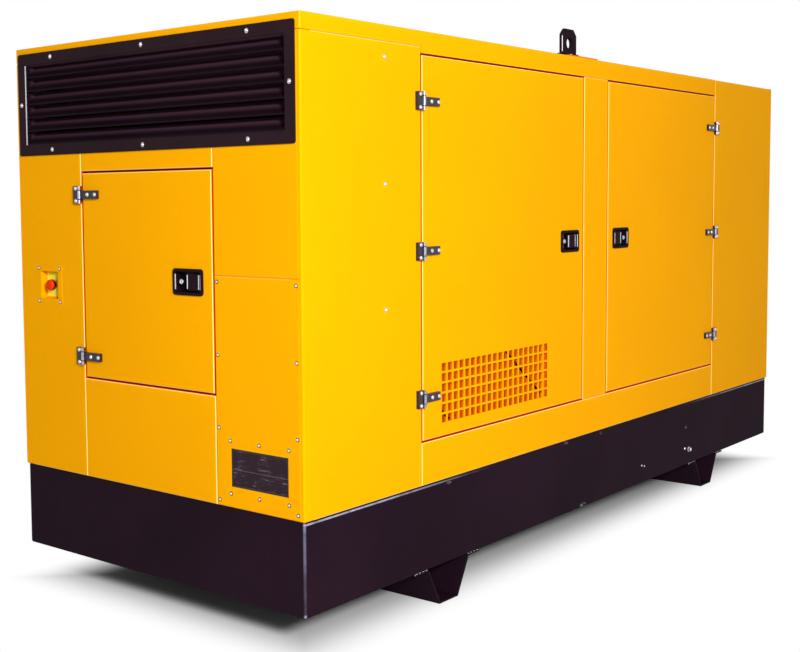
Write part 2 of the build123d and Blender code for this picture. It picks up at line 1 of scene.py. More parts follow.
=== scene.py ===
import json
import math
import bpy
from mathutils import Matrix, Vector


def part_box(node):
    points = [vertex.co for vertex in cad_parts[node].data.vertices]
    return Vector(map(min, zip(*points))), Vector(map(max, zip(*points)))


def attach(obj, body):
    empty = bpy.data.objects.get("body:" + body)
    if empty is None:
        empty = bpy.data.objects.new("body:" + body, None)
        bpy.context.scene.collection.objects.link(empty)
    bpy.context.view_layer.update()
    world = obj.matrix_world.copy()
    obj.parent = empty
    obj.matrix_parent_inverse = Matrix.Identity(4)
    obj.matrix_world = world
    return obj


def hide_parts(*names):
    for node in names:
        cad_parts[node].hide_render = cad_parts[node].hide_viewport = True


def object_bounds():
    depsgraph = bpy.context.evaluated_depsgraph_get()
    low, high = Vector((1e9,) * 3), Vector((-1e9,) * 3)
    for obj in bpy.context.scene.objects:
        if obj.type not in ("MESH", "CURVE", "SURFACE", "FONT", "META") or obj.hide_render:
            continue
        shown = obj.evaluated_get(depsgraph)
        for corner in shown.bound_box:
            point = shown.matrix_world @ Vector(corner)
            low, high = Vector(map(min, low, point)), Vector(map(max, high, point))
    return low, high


bl_info = {
    "name": "Canopied Diesel Generator",
    "version": (1, 0, 0),
    "blender": (4, 5, 0),
    "location": "View3D > Sidebar > Generator",
    "description": "Dresses the packed solids of an enclosed generator set: paint, fasteners, lining, stage",
    "category": "Object",
}

from functools import reduce

import bmesh
import bpy
from bpy.props import FloatProperty, FloatVectorProperty, IntProperty, PointerProperty
from mathutils import Matrix, Vector

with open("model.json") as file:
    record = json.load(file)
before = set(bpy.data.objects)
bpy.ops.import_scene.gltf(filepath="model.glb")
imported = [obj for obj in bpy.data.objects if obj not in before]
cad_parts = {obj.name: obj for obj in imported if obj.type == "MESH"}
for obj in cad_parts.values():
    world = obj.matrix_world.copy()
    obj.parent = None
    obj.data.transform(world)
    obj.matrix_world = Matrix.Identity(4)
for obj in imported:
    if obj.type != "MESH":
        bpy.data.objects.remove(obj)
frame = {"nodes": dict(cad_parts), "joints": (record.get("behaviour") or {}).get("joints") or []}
cad_low, cad_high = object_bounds()

HOUSING = "housing"
TO_FRONT = Vector((0.0, -1.0, 0.0))
TO_REAR = Vector((0.0, 1.0, 0.0))
TO_CONTROL = Vector((-1.0, 0.0, 0.0))
TO_RADIATOR = Vector((1.0, 0.0, 0.0))
UP = Vector((0.0, 0.0, 1.0))
SHARP_ANGLE = math.radians(38.0)
HEAD_TURN = 2.4
WHITE = (1.0, 1.0, 1.0, 1.0)
DOORS = ("side_door_a", "side_door_b", "end_door")


def length(name, text, default):
    """A size in metres that a user can change."""
    return FloatProperty(name=name, description=text, default=default, min=0.0, precision=4, unit="LENGTH")


def colour(name, text, default):
    """A linear colour that a user can change."""
    return FloatVectorProperty(
        name=name, description=text, default=default, size=3, min=0.0, max=1.0, subtype="COLOR"
    )


def factor(name, text, default):
    """A share from zero to one that a user can change."""
    return FloatProperty(name=name, description=text, default=default, min=0.0, max=1.0, subtype="FACTOR")


def count(name, text, default):
    """A number of like things that a user can change."""
    return IntProperty(name=name, description=text, default=default, min=2)


class FinishSettings(bpy.types.PropertyGroup):
    """Colours of the paints, metals and plastics."""

    canopy: colour("Canopy paint", "Yellow of the canopy", (0.95, 0.402, 0.0))
    # Painted highlight: this paler yellow is laid on the canopy's rounded edges to stand in for the light
    # they catch.
    canopy_edge_highlight: colour("Canopy edge", "Paler yellow that rubbed edges show", (1.0, 0.80, 0.24))
    # Painted shade: this deep red-brown stands in for the shade and the reddish bounce of light inside the
    # gaps between panels.
    joint: colour("Joint", "Deep red-brown of the joints between the panels", (0.80, 0.030, 0.0))
    # Painted shade: this orange-brown on the stops stands in for the shaded red seen deep in the door gaps.
    stops: colour("Stop paint", "Orange-brown of the stops behind the doors", (0.80, 0.090, 0.0))
    # Painted shade: this deeper orange stands in for the canopy's yellow lying in shade behind the grille.
    baffle: colour("Baffle paint", "Deeper orange of the plate behind the grille", (0.78, 0.160, 0.0))
    base: colour("Base paint", "Black of the skid base, the feet and the lugs", (0.0150, 0.0060, 0.0125))
    louvre: colour("Louvre paint", "Black of the louvres", (0.0095, 0.0040, 0.0075))
    louvre_frame: colour("Louvre frame paint", "Black of the louvre frames", (0.0190, 0.0090, 0.0125))
    fitting: colour("Fitting black", "Black of the hinges", (0.0260, 0.0190, 0.0290))
    # Painted light: this lighter colour deep between the blades lifts the shade there.
    vent_painted_light: colour("Vent dust", "Dust that lies deep between the louvre blades", (0.060, 0.028, 0.044))
    # Painted shade and light: a box behind the louvres stands in for the vents' deep shade, and its colour is
    # lifted above black.
    vent_lining: colour("Vent lining", "Dusty lining behind the louvres", (0.085, 0.042, 0.060))
    moulding: colour("Latch plastic", "Black of the moulded latches", (0.0110, 0.0042, 0.0080))
    # Painted highlight: this near-white colour makes the latch strips, vent strips, weld beads and lug edges
    # look as if they catch light.
    trim: colour("Bright trim", "Latch edges, vent strips, weld beads and lug edges", (0.88, 0.87, 0.94))
    barrel: colour("Hinge barrel", "Bare metal of the hinge barrels", (0.42, 0.41, 0.48))
    # Painted highlight: this pale blue-grey on the base's edges and corners stands in for the light caught on
    # them.
    base_edge_highlight: colour("Worn base", "Pale blue-grey of the base's rubbed edges", (0.34, 0.35, 0.50))
    zinc: colour("Zinc", "Plating of bolts, plugs and locks", (0.70, 0.69, 0.71))
    steel: colour("Bare steel", "Rivets and scuffs of the base", (0.52, 0.52, 0.54))
    rubber: colour("Rubber", "Cable flaps, edging, washers and door seals", (0.030, 0.017, 0.022))
    rubber_scuff: colour("Rubber scuff", "Pale scuffs on the cable flaps", (0.20, 0.17, 0.23))
    foam: colour("Lining foam", "Sound lining inside the canopy", (0.030, 0.031, 0.034))
    stop_red: colour("Stop button", "Red of the emergency stop", (0.78, 0.042, 0.006))
    stop_yellow: colour("Stop plate", "Yellow of the plate behind the button", (1.0, 0.88, 0.05))


class FastenerSettings(bpy.types.PropertyGroup):
    """Sizes and places of bolts, rivets and plugs."""

    washer_radius: length("Washer radius", "Radius of the washers under the larger bolts", 0.0082)
    frame_radius: length("Frame bolt radius", "Radius of the bolts of the louvre frames", 0.0064)
    frame_height: length("Frame bolt height", "Height of the louvre frames' bolts", 0.0060)
    screw_radius: length("Screw radius", "Radius of the small screws of the access panel", 0.0050)
    screw_height: length("Screw height", "Height of the small screws", 0.0040)
    side_radius: length("Side bolt radius", "Radius of the bolts of the side panels", 0.0064)
    hinge_radius: length("Hinge bolt radius", "Radius of the hinge bolts", 0.0074)
    hinge_height: length("Hinge bolt height", "Height of the hinge bolts", 0.0045)
    # Painted shadow: the dark washers under the small screws also stand in for the shadow round each head.
    screw_shadow_washer: length("Screw washer", "Radius of the dark washers under the small screws", 0.0072)
    rivet_radius: length("Rivet radius", "Radius of the rivets on the base", 0.0050)
    frame_inset: length("Frame inset", "Edge of a louvre frame to its bolts", 0.020)
    frame_share: factor("Frame share", "Place of a louvre frame's outer bolts along its width", 0.358)
    access_inset_side: length("Access inset", "Side edge of the access panel to its bolts", 0.014)
    access_inset_end: length("Access end inset", "Top and bottom of the access panel to its bolts", 0.020)
    access_rows: count("Access rows", "Bolts along each side of the access panel", 4)
    outlet_margin: length("Outlet margin", "Cable outlet to the bolts above and below it", 0.024)
    outlet_spread: length("Outlet spread", "Middle of the cable outlet to its outer bolts", 0.129)
    stop_spread: length("Stop spread", "Middle of the emergency stop to its bolts", 0.062)
    side_setback: length("Side setback", "Control end to the bolts of the side panel", 0.4224)
    side_drop: length("Side drop", "Top of the side panel to its first bolt", 0.053)
    side_pitch: length("Side pitch", "Spacing of the side panel's bolts", 0.4203)
    side_count: count("Side count", "Bolts down the side panel", 3)
    bracket_reach: length("Bracket reach", "Hinge pin to the bolts of its bracket", 0.0210)
    bracket_spread: length("Bracket spread", "Middle of a hinge to the bolts of its bracket", 0.0225)
    leaf_reach: length("Leaf reach", "Hinge pin to the first bolt of its leaf", 0.045)
    leaf_pitch: length("Leaf pitch", "Spacing of the two bolts of a leaf", 0.041)
    hinge_sheet: length("Hinge sheet", "Thickness of the hinge plates", 0.011)
    barrel_half: length("Half barrel", "Half the height of a leaf's barrel", 0.016)


class LiningSettings(bpy.types.PropertyGroup):
    """Sizes of the sound lining and of the door seals."""

    wall_foam: length("Wall foam", "Thickness of the boards on walls and roof", 0.022)
    door_foam: length("Door foam", "Thickness of the boards on the doors", 0.014)
    margin: length("Margin", "Edge of a panel to its board", 0.045)
    cell: length("Cell", "Size of a moulded pad on the boards", 0.15)
    relief: length("Relief", "Height of the moulded pads", 0.005)
    seal_width: length("Seal width", "Width of a door seal", 0.011)
    seal_height: length("Seal height", "Height of a door seal above its stop", 0.0063)
    seal_setback: length("Seal setback", "Edge of a door to the middle of its seal", 0.010)


class StageSettings(bpy.types.PropertyGroup):
    """Camera, floor, sky and lamp."""

    floor_size: length("Floor size", "Width of the floor", 60.0)
    floor_albedo: factor("Floor tone", "How pale the floor is", 0.64)
    floor_shade: length("Floor shade", "How far in under the set the floor keeps its full shade", 0.25)
    floor_clear: length("Floor clear", "How far out from the set the floor is plain white", 0.07)
    sky: FloatProperty(name="Sky", description="Strength of the light from all round", default=0.36, min=0.0)
    key_power: FloatProperty(name="Key", description="Lamp power", default=560.0, min=0.0, unit="POWER")
    lens: FloatProperty(name="Lens", description="Focal length in millimetres", default=54.933, min=1.0)


def settings(name):
    """A settings group of the open scene."""
    return getattr(bpy.context.scene, "generator_" + name)


# Node helpers


def fresh_material(name):
    """An empty material with its output and one Principled shader."""
    material = bpy.data.materials.new(name)
    material.use_nodes = True
    tree = material.node_tree
    tree.nodes.clear()
    output = tree.nodes.new("ShaderNodeOutputMaterial")
    shader = tree.nodes.new("ShaderNodeBsdfPrincipled")
    tree.links.new(shader.outputs["BSDF"], output.inputs["Surface"])
    return material, tree, shader


def put(tree, socket, value):
    """Sets a socket to a constant, or links it to another socket."""
    if isinstance(value, bpy.types.NodeSocket):
        tree.links.new(value, socket)
    else:
        socket.default_value = value


def node(tree, kind, sockets=(), **attributes):
    """A node with its attributes set and its input sockets filled, by place or by name."""
    made = tree.nodes.new(kind)
    for name, value in attributes.items():
        setattr(made, name, value)
    for key, value in dict(sockets).items():
        put(tree, made.inputs[key], value)
    return made


def object_point(tree):
    """The shaded point in the part's own frame."""
    return node(tree, "ShaderNodeTexCoord").outputs["Object"]


def object_normal(tree):
    """The way that the surface faces, in the part's own frame."""
    return node(tree, "ShaderNodeTexCoord").outputs["Normal"]


def axes(tree, vector):
    """The X, Y and Z of a vector."""
    return node(tree, "ShaderNodeSeparateXYZ", {"Vector": vector}).outputs


def vector_sum(tree, operation, *vectors, result="Vector"):
    """One sum of vectors."""
    return node(tree, "ShaderNodeVectorMath", enumerate(vectors), operation=operation).outputs[result]


def noise(tree, point, scale, detail=3.0, roughness=0.55):
    """Cloudy values round one half."""
    sockets = {"Vector": point, "Scale": scale, "Detail": detail, "Roughness": roughness}
    return node(tree, "ShaderNodeTexNoise", sockets).outputs["Fac"]


def ramp(tree, value, low, high, to_low=0.0, to_high=1.0):
    """A value stretched from one range onto another, clamped and smooth."""
    sockets = {"Value": value, "From Min": low, "From Max": high, "To Min": to_low, "To Max": to_high}
    return node(tree, "ShaderNodeMapRange", sockets, interpolation_type="SMOOTHSTEP").outputs["Result"]


def arithmetic(tree, operation, first, second=0.0):
    """One sum of two values, or of one."""
    return node(tree, "ShaderNodeMath", {0: first, 1: second}, operation=operation).outputs["Value"]


def fold(tree, operation, values):
    """Many values brought down to one by the same sum."""
    return reduce(lambda first, second: arithmetic(tree, operation, first, second), values)


def blend(tree, share, first, second):
    """A colour between two colours."""
    made = node(tree, "ShaderNodeMix", data_type="RGBA")
    put(tree, made.inputs["Factor"], share)
    for socket, value in ((made.inputs[6], first), (made.inputs[7], second)):
        put(tree, socket, value if isinstance(value, bpy.types.NodeSocket) else opaque(value))
    return made.outputs[2]


def opaque(rgb):
    """A colour with full alpha."""
    return (*rgb, 1.0)


def scaled(rgb, share):
    """A colour made darker or lighter."""
    return tuple(min(1.0, channel * share) for channel in rgb)


def tint(tree, shader, rgb):
    """Gives a shader its colour."""
    tree.links.new(rgb, shader.inputs["Base Color"])


def roughen(tree, shader, grain, low, high):
    """Gives a shader a roughness that follows a grain."""
    tree.links.new(ramp(tree, grain, 0.3, 0.7, low, high), shader.inputs["Roughness"])


def cover(material, share, rgb):
    """Lays another colour over a share of a material's own."""
    tree = material.node_tree
    shader = next(item for item in tree.nodes if item.type == "BSDF_PRINCIPLED")
    coat = shader.inputs["Base Color"].links[0].from_socket
    tint(tree, shader, blend(tree, share, coat, rgb))
    return material


def bump(tree, shader, height, strength, distance):
    """Fine relief on a shader's surface."""
    made = node(tree, "ShaderNodeBump", {"Strength": strength, "Distance": distance, "Height": height})
    tree.links.new(made.outputs["Normal"], shader.inputs["Normal"])


def gloss(shader, weight, roughness):
    """A thin clear coat in place of the base's own gloss, so that the colour stays deep at a flat angle."""
    shader.inputs["Specular IOR Level"].default_value = 0.0
    shader.inputs["Coat Weight"].default_value = weight
    shader.inputs["Coat Roughness"].default_value = roughness


def near(tree, point, place, radii):
    """A soft spot that is one at a place and zero beyond its radii."""
    offset = vector_sum(tree, "SUBTRACT", point, place)
    share = vector_sum(tree, "MULTIPLY", offset, [1.0 / radius for radius in radii])
    return ramp(tree, vector_sum(tree, "LENGTH", share, result="Value"), 0.4, 1.0, 1.0, 0.0)


# Finishes


def edges(tree):
    """One on rounded edges, where the surface looks along none of the axes, and zero on flat panels; the
    canopy's paint uses it to place its painted highlight.
    """
    split = axes(tree, vector_sum(tree, "ABSOLUTE", object_normal(tree)))
    return ramp(tree, fold(tree, "MAXIMUM", [split[axis] for axis in "XYZ"]), 0.80, 0.97, 1.0, 0.0)


def canopy_paint(name, rgb, highlight_strength):
    """Smooth powder coat with a faint orange-peel, a slow random drift of tone, a thin gloss, and rounded
    edges painted paler as a painted highlight.
    """
    material, tree, shader = fresh_material(name)
    point = object_point(tree)
    drift = noise(tree, point, 0.9, 2.0)
    grain = noise(tree, point, 38.0, 4.0)
    shade = blend(tree, ramp(tree, drift, 0.3, 0.7), scaled(rgb, 0.975), scaled(rgb, 1.02))
    coat = blend(tree, ramp(tree, grain, 0.35, 0.75, 0.0, 0.05), shade, scaled(rgb, 0.8))
    # Painted highlight: rounded edges away from the corner bends are painted paler, patchy with the slow
    # drift.
    highlight_patches = ramp(tree, drift, 0.2, 0.8, 0.8 * highlight_strength, highlight_strength)
    painted_highlight = fold(tree, "MULTIPLY", (edges(tree), highlight_patches, off_corner(tree)))
    tint(tree, shader, blend(tree, painted_highlight, coat, settings("finish").canopy_edge_highlight))
    roughen(tree, shader, grain, 0.30, 0.38)
    gloss(shader, 0.045, 0.16)
    bump(tree, shader, noise(tree, point, 210.0, 2.0), 0.035, 0.001)
    return material


def wall_depths(tree):
    """How far in from the end faces and from the long faces of the canopy a point lies."""
    split = axes(tree, object_point(tree))
    return [
        arithmetic(tree, "SUBTRACT", cad_face(outward), arithmetic(tree, "ABSOLUTE", split[axis]))
        for axis, outward in (("X", TO_RADIATOR), ("Y", TO_FRONT))
    ]


def off_corner(tree):
    """Zero on the bends at the upright corners of the canopy, which get no painted highlight, and one
    elsewhere.
    """
    return ramp(tree, arithmetic(tree, "MAXIMUM", *wall_depths(tree)), 0.045, 0.050)


def outside(tree, node_name, margin):
    """Zero over a solid's width and height, and one beyond them."""
    low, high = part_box(node_name)
    half = (high - low) / 2
    away = vector_sum(tree, "SUBTRACT", object_point(tree), (low + high) / 2)
    split = axes(tree, vector_sum(tree, "ABSOLUTE", away))
    reaches = (("X", half.x), ("Z", half.z))
    return fold(tree, "MAXIMUM", [ramp(tree, split[axis], reach, reach + margin) for axis, reach in reaches])


def panel_paint(name, highlight_strength):
    """The canopy's paint on its panels, with painted shade in deep red-brown on the sides of the joints
    between them, and in the baffle's deeper orange within the grille's reach.
    """
    finish = settings("finish")
    material = canopy_paint(name, finish.canopy, highlight_strength)
    tree = material.node_tree
    depth = arithmetic(tree, "MINIMUM", *wall_depths(tree))
    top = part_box("centre_roof")[1].z
    # Painted shade: the sides of the gaps, from 2.2 mm to 30 mm in from the faces and below the roof's edge,
    # take the joint colour, or the baffle's colour by the grille.
    gap_shade = (
        ramp(tree, depth, 0.0022, 0.0032),
        ramp(tree, depth, 0.028, 0.030, 1.0, 0.0),
        ramp(tree, axes(tree, object_point(tree))["Z"], top - 0.050, top - 0.045, 1.0, 0.0),
    )
    sides = blend(tree, outside(tree, "side_door_a_baffle", 0.004), finish.baffle, finish.joint)
    return cover(material, fold(tree, "MULTIPLY", gap_shade), sides)


def baffle_paint():
    """Painted shade: a deeper orange on the plate behind the grille, for the shade it lies in, and darker
    still on the sides of its pocket.
    """
    rgb = settings("finish").baffle
    material = canopy_paint("baffle_paint", rgb, 0.0)
    tree = material.node_tree
    across = arithmetic(tree, "ABSOLUTE", axes(tree, object_normal(tree))["X"])
    return cover(material, ramp(tree, across, 0.5, 0.8), scaled(rgb, 0.4))


def black_paint(name, rgb, weight, dust):
    """Satin black coat on steel with a little dust, for the base and the louvres."""
    material, tree, shader = fresh_material(name)
    point = object_point(tree)
    cloud = noise(tree, point, 2.2, 4.0)
    speck = noise(tree, point, 150.0, 3.0, 0.7)
    dusty = (ramp(tree, speck, 0.62, 0.80), ramp(tree, cloud, 0.40, 0.75, 0.25, 1.0), dust)
    toned = blend(tree, ramp(tree, cloud, 0.3, 0.7), scaled(rgb, 0.85), scaled(rgb, 1.15))
    tint(tree, shader, blend(tree, fold(tree, "MULTIPLY", dusty), toned, scaled(rgb, 6.0)))
    roughen(tree, shader, speck, 0.40, 0.52)
    gloss(shader, weight, 0.22)
    bump(tree, shader, noise(tree, point, 260.0, 2.0), 0.05, 0.001)
    return material


def louvre_paint():
    """Black coat of the louvre blades, painted lighter deep between them as painted light that lifts their
    shade.
    """
    finish = settings("finish")
    material = black_paint("louvre_paint", finish.louvre, 0.08, 0.35)
    tree = material.node_tree
    low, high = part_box("control_louvre_blades")
    width = high.x - low.x
    across = arithmetic(tree, "ABSOLUTE", axes(tree, object_point(tree))["X"])
    deep = ramp(tree, arithmetic(tree, "SUBTRACT", -low.x, across), 0.25 * width, 0.75 * width)
    return cover(material, deep, finish.vent_painted_light)


def base_paint():
    """Black coat of the base and the lugs, with pale painted highlights along the base's edges and corners
    and on the lugs' edges, and a few scuffs of bare steel.
    """
    finish = settings("finish")
    material = black_paint("base_paint", finish.base, 0.06, 0.5)
    tree = material.node_tree
    point = object_point(tree)
    low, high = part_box("base_side_rails")
    scratch = ramp(tree, noise(tree, point, 90.0, 6.0, 0.75), 0.47, 0.60)
    spots = [
        arithmetic(tree, "MULTIPLY", near(tree, point, place, radii), scratch)
        for place, radii in base_scuffs(low, high)
    ]
    cover(material, arithmetic(tree, "MULTIPLY", fold(tree, "MAXIMUM", spots), 0.40), finish.steel)
    cover(material, base_highlight_mask(tree, point, high), finish.base_edge_highlight)
    return cover(material, lug_highlight_mask(tree, point), finish.trim)


def base_highlight_mask(tree, point, high):
    """Painted highlights on the upright corners and the long top edges of the base, most at the corners."""
    reach = axes(tree, vector_sum(tree, "ABSOLUTE", point))
    patch = ramp(tree, noise(tree, point, 23.0, 5.0, 0.65), 0.30, 0.66, 0.45, 1.0)
    in_x = arithmetic(tree, "SUBTRACT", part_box("base_end_rails")[1].x, reach["X"])
    in_y = arithmetic(tree, "SUBTRACT", high.y, reach["Y"])
    below = arithmetic(tree, "SUBTRACT", high.z, reach["Z"])
    corner = ramp(tree, arithmetic(tree, "ADD", in_x, in_y), 0.004, 0.009, 1.0, 0.0)
    upright = arithmetic(tree, "MULTIPLY", corner, ramp(tree, below, 0.0, 0.30, 0.46, 0.12))
    top_line = (
        ramp(tree, below, 0.0055, 0.0070),
        ramp(tree, below, 0.0115, 0.0135, 1.0, 0.0),
        ramp(tree, in_y, 0.004, 0.008, 1.0, 0.0),
        ramp(tree, in_x, 0.20, 1.15, 1.0, 0.0),
    )
    foot = arithmetic(tree, "MULTIPLY", ramp(tree, below, 0.296, 0.304), corner)
    painted_highlight = fold(tree, "MAXIMUM", (upright, fold(tree, "MULTIPLY", top_line), foot))
    return arithmetic(tree, "MULTIPLY", painted_highlight, patch)


def lug_highlight_mask(tree, point):
    """A painted highlight on the outer edges of the lifting lugs' plates, on the control end's side."""
    low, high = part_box("lifting_lugs")
    split = axes(tree, point)
    step, band = Vector((0.006, 0.0065, 0.015)), 0.0022
    side, front = low.x + step.x + band, high.y - step.y - band
    shades = (
        ramp(tree, split["X"], side, side + 0.3 * band, 1.0, 0.0),
        ramp(tree, arithmetic(tree, "ABSOLUTE", split["Y"]), front, front + 0.3 * band),
        ramp(tree, split["Z"], low.z + step.z, low.z + step.z + band),
        ramp(tree, split["Z"], high.z - 0.036, high.z - 0.028, 1.0, 0.0),
    )
    return fold(tree, "MULTIPLY", shades)


def base_scuffs(low, high):
    """Places and radii of the scuffs on the front of the base."""
    face = low.y
    return (
        ((-0.144, face, low.z + 0.011), (0.034, 0.03, 0.012)),
        ((-0.295, face, high.z - 0.012), (0.030, 0.03, 0.009)),
        ((0.020, face, high.z - 0.016), (0.026, 0.03, 0.008)),
        ((-1.150, face, high.z - 0.020), (0.022, 0.03, 0.007)),
        ((0.905, face, low.z + 0.190), (0.022, 0.03, 0.010)),
    )


def hinge_finish():
    """Black hinge plates round bright barrels, told apart by how near a point is to a hinge's pin, with
    painted shade in a darker ring round each barrel and in thin lines where its knuckles meet.
    """
    finish = settings("finish")
    material, tree, shader = fresh_material("hinge_finish")
    point = object_point(tree)
    flat = vector_sum(tree, "MULTIPLY", point, (1.0, 1.0, 0.0))
    pins = [(pin.x, pin.y, 0.0) for pin in hinge_pins()]
    nearest = fold(tree, "MINIMUM", [vector_sum(tree, "DISTANCE", flat, pin, result="Value") for pin in pins])
    height = axes(tree, point)["Z"]
    levels = sorted({round(level, 4) for row in hinge_rows() for level in row.heights})
    rises = [arithmetic(tree, "ABSOLUTE", arithmetic(tree, "SUBTRACT", height, level)) for level in levels]
    half = settings("fasteners").barrel_half + 0.0005
    split = arithmetic(tree, "SUBTRACT", fold(tree, "MINIMUM", rises), half)
    # Painted shade: thin dark lines where the knuckles meet.
    knuckle = ramp(tree, arithmetic(tree, "ABSOLUTE", split), 0.0012, 0.0022)
    barrel = arithmetic(tree, "MULTIPLY", ramp(tree, nearest, 0.0067, 0.0070, 1.0, 0.0), knuckle)
    grain = noise(tree, point, 120.0, 4.0)
    plate = blend(tree, ramp(tree, grain, 0.55, 0.8, 0.0, 0.3), finish.fitting, scaled(finish.fitting, 3.0))
    # Painted shadow: a darker ring round each barrel, within 12 mm of its pin.
    plate = blend(tree, ramp(tree, nearest, 0.0115, 0.0125), scaled(finish.fitting, 0.2), plate)
    bright = blend(tree, grain, scaled(finish.barrel, 0.8), finish.barrel)
    tint(tree, shader, blend(tree, barrel, plate, bright))
    put(tree, shader.inputs["Metallic"], barrel)
    roughen(tree, shader, grain, 0.24, 0.34)
    shader.inputs["Specular IOR Level"].default_value = 0.25
    bump(tree, shader, noise(tree, point, 400.0, 2.0), 0.06, 0.0006)
    return material


def latch_plastic():
    """Black moulded plastic with a fine grain and a soft gloss."""
    rgb = settings("finish").moulding
    material, tree, shader = fresh_material("latch_plastic")
    point = object_point(tree)
    grain = noise(tree, point, 300.0, 3.0)
    tint(tree, shader, blend(tree, grain, scaled(rgb, 0.8), scaled(rgb, 1.3)))
    roughen(tree, shader, grain, 0.30, 0.40)
    gloss(shader, 0.10, 0.12)
    bump(tree, shader, noise(tree, point, 900.0, 2.0), 0.08, 0.0004)
    return material


def plated(name, rgb, roughness, metal=1.0):
    """Bright metal with a fine mottle, for bolts, strips and weld beads."""
    material, tree, shader = fresh_material(name)
    point = object_point(tree)
    mottle = noise(tree, point, 180.0, 4.0, 0.65)
    tint(tree, shader, blend(tree, ramp(tree, mottle, 0.3, 0.7), scaled(rgb, 0.82), rgb))
    roughen(tree, shader, mottle, roughness - 0.06, roughness + 0.06)
    shader.inputs["Metallic"].default_value = metal
    bump(tree, shader, noise(tree, point, 700.0, 2.0), 0.05, 0.0004)
    return material


def flap_sheet():
    """Dark rubber sheet with a pale painted highlight along the upper flap's free edge, pale scuffs and
    scratches.
    """
    finish = settings("finish")
    material, tree, shader = fresh_material("flap_sheet")
    point = object_point(tree)
    smears = []
    for turn, scale in ((0.10, (1.0, 22.0, 120.0)), (1.45, (1.0, 18.0, 110.0))):
        sockets = {"Vector": point, "Rotation": (turn, 0.0, 0.0), "Scale": scale}
        turned = node(tree, "ShaderNodeMapping", sockets).outputs["Vector"]
        smears.append(ramp(tree, noise(tree, turned, 1.0, 5.0, 0.65), 0.55, 0.70))
    cloud = noise(tree, point, 17.0, 4.0)
    speck = noise(tree, point, 150.0, 4.0, 0.7)
    scuffs = (arithmetic(tree, "MAXIMUM", *smears), ramp(tree, cloud, 0.42, 0.62), 0.85)
    dust = (ramp(tree, speck, 0.45, 0.80), ramp(tree, cloud, 0.35, 0.7, 0.03, 0.16))
    low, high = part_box("cable_outlet_flaps")
    # Painted highlight: a pale band along the upper flap's free edge.
    rise = arithmetic(tree, "SUBTRACT", axes(tree, point)["Z"], (low.z + high.z) / 2 - 0.006)
    free_edge_highlight = ramp(tree, arithmetic(tree, "ABSOLUTE", rise), 0.0012, 0.0030, 0.40, 0.0)
    marks = [fold(tree, "MULTIPLY", scuffs), free_edge_highlight, fold(tree, "MULTIPLY", dust)]
    tint(tree, shader, blend(tree, fold(tree, "MAXIMUM", marks), finish.rubber, finish.rubber_scuff))
    roughen(tree, shader, speck, 0.50, 0.66)
    gloss(shader, 0.05, 0.40)
    bump(tree, shader, speck, 0.12, 0.001)
    return material


def seal_rubber():
    """Plain black rubber of the door seals, the outlet's edging and the washers."""
    rgb = scaled(settings("finish").rubber, 0.3)
    material, tree, shader = fresh_material("seal_rubber")
    grain = noise(tree, object_point(tree), 220.0, 3.0)
    tint(tree, shader, blend(tree, grain, scaled(rgb, 0.7), scaled(rgb, 1.3)))
    roughen(tree, shader, grain, 0.55, 0.70)
    bump(tree, shader, grain, 0.08, 0.0006)
    return material


def lining_foam():
    """Open-celled dark foam."""
    rgb = settings("finish").foam
    material, tree, shader = fresh_material("lining_foam")
    point = object_point(tree)
    cells = node(tree, "ShaderNodeTexVoronoi", {"Vector": point, "Scale": 240.0}).outputs["Distance"]
    cloud = noise(tree, point, 6.0, 4.0)
    toned = blend(tree, ramp(tree, cloud, 0.3, 0.7), scaled(rgb, 0.75), scaled(rgb, 1.25))
    tint(tree, shader, blend(tree, ramp(tree, cells, 0.1, 0.6), scaled(rgb, 0.35), toned))
    shader.inputs["Roughness"].default_value = 0.95
    shader.inputs["Specular IOR Level"].default_value = 0.1
    bump(tree, shader, cells, 0.35, 0.002)
    return material


def button_plastic(name, rgb):
    """Clean bright plastic of the emergency stop."""
    material, tree, shader = fresh_material(name)
    point = object_point(tree)
    grain = noise(tree, point, 90.0, 3.0)
    tint(tree, shader, blend(tree, grain, scaled(rgb, 0.9), scaled(rgb, 1.06)))
    roughen(tree, shader, grain, 0.28, 0.36)
    gloss(shader, 0.05, 0.15)
    bump(tree, shader, noise(tree, point, 600.0, 2.0), 0.04, 0.0004)
    return material


def button_red():
    """Red plastic of the stop button, with painted shade on its neck behind the head."""
    rgb = settings("finish").stop_red
    material = button_plastic("button_red", rgb)
    tree = material.node_tree
    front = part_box("emergency_stop_button")[0].x
    # Painted shade: the button is near black from 10 mm to 12 mm behind its front and beyond.
    neck = ramp(tree, axes(tree, object_point(tree))["X"], front + 0.010, front + 0.012)
    return cover(material, neck, scaled(rgb, 0.08))


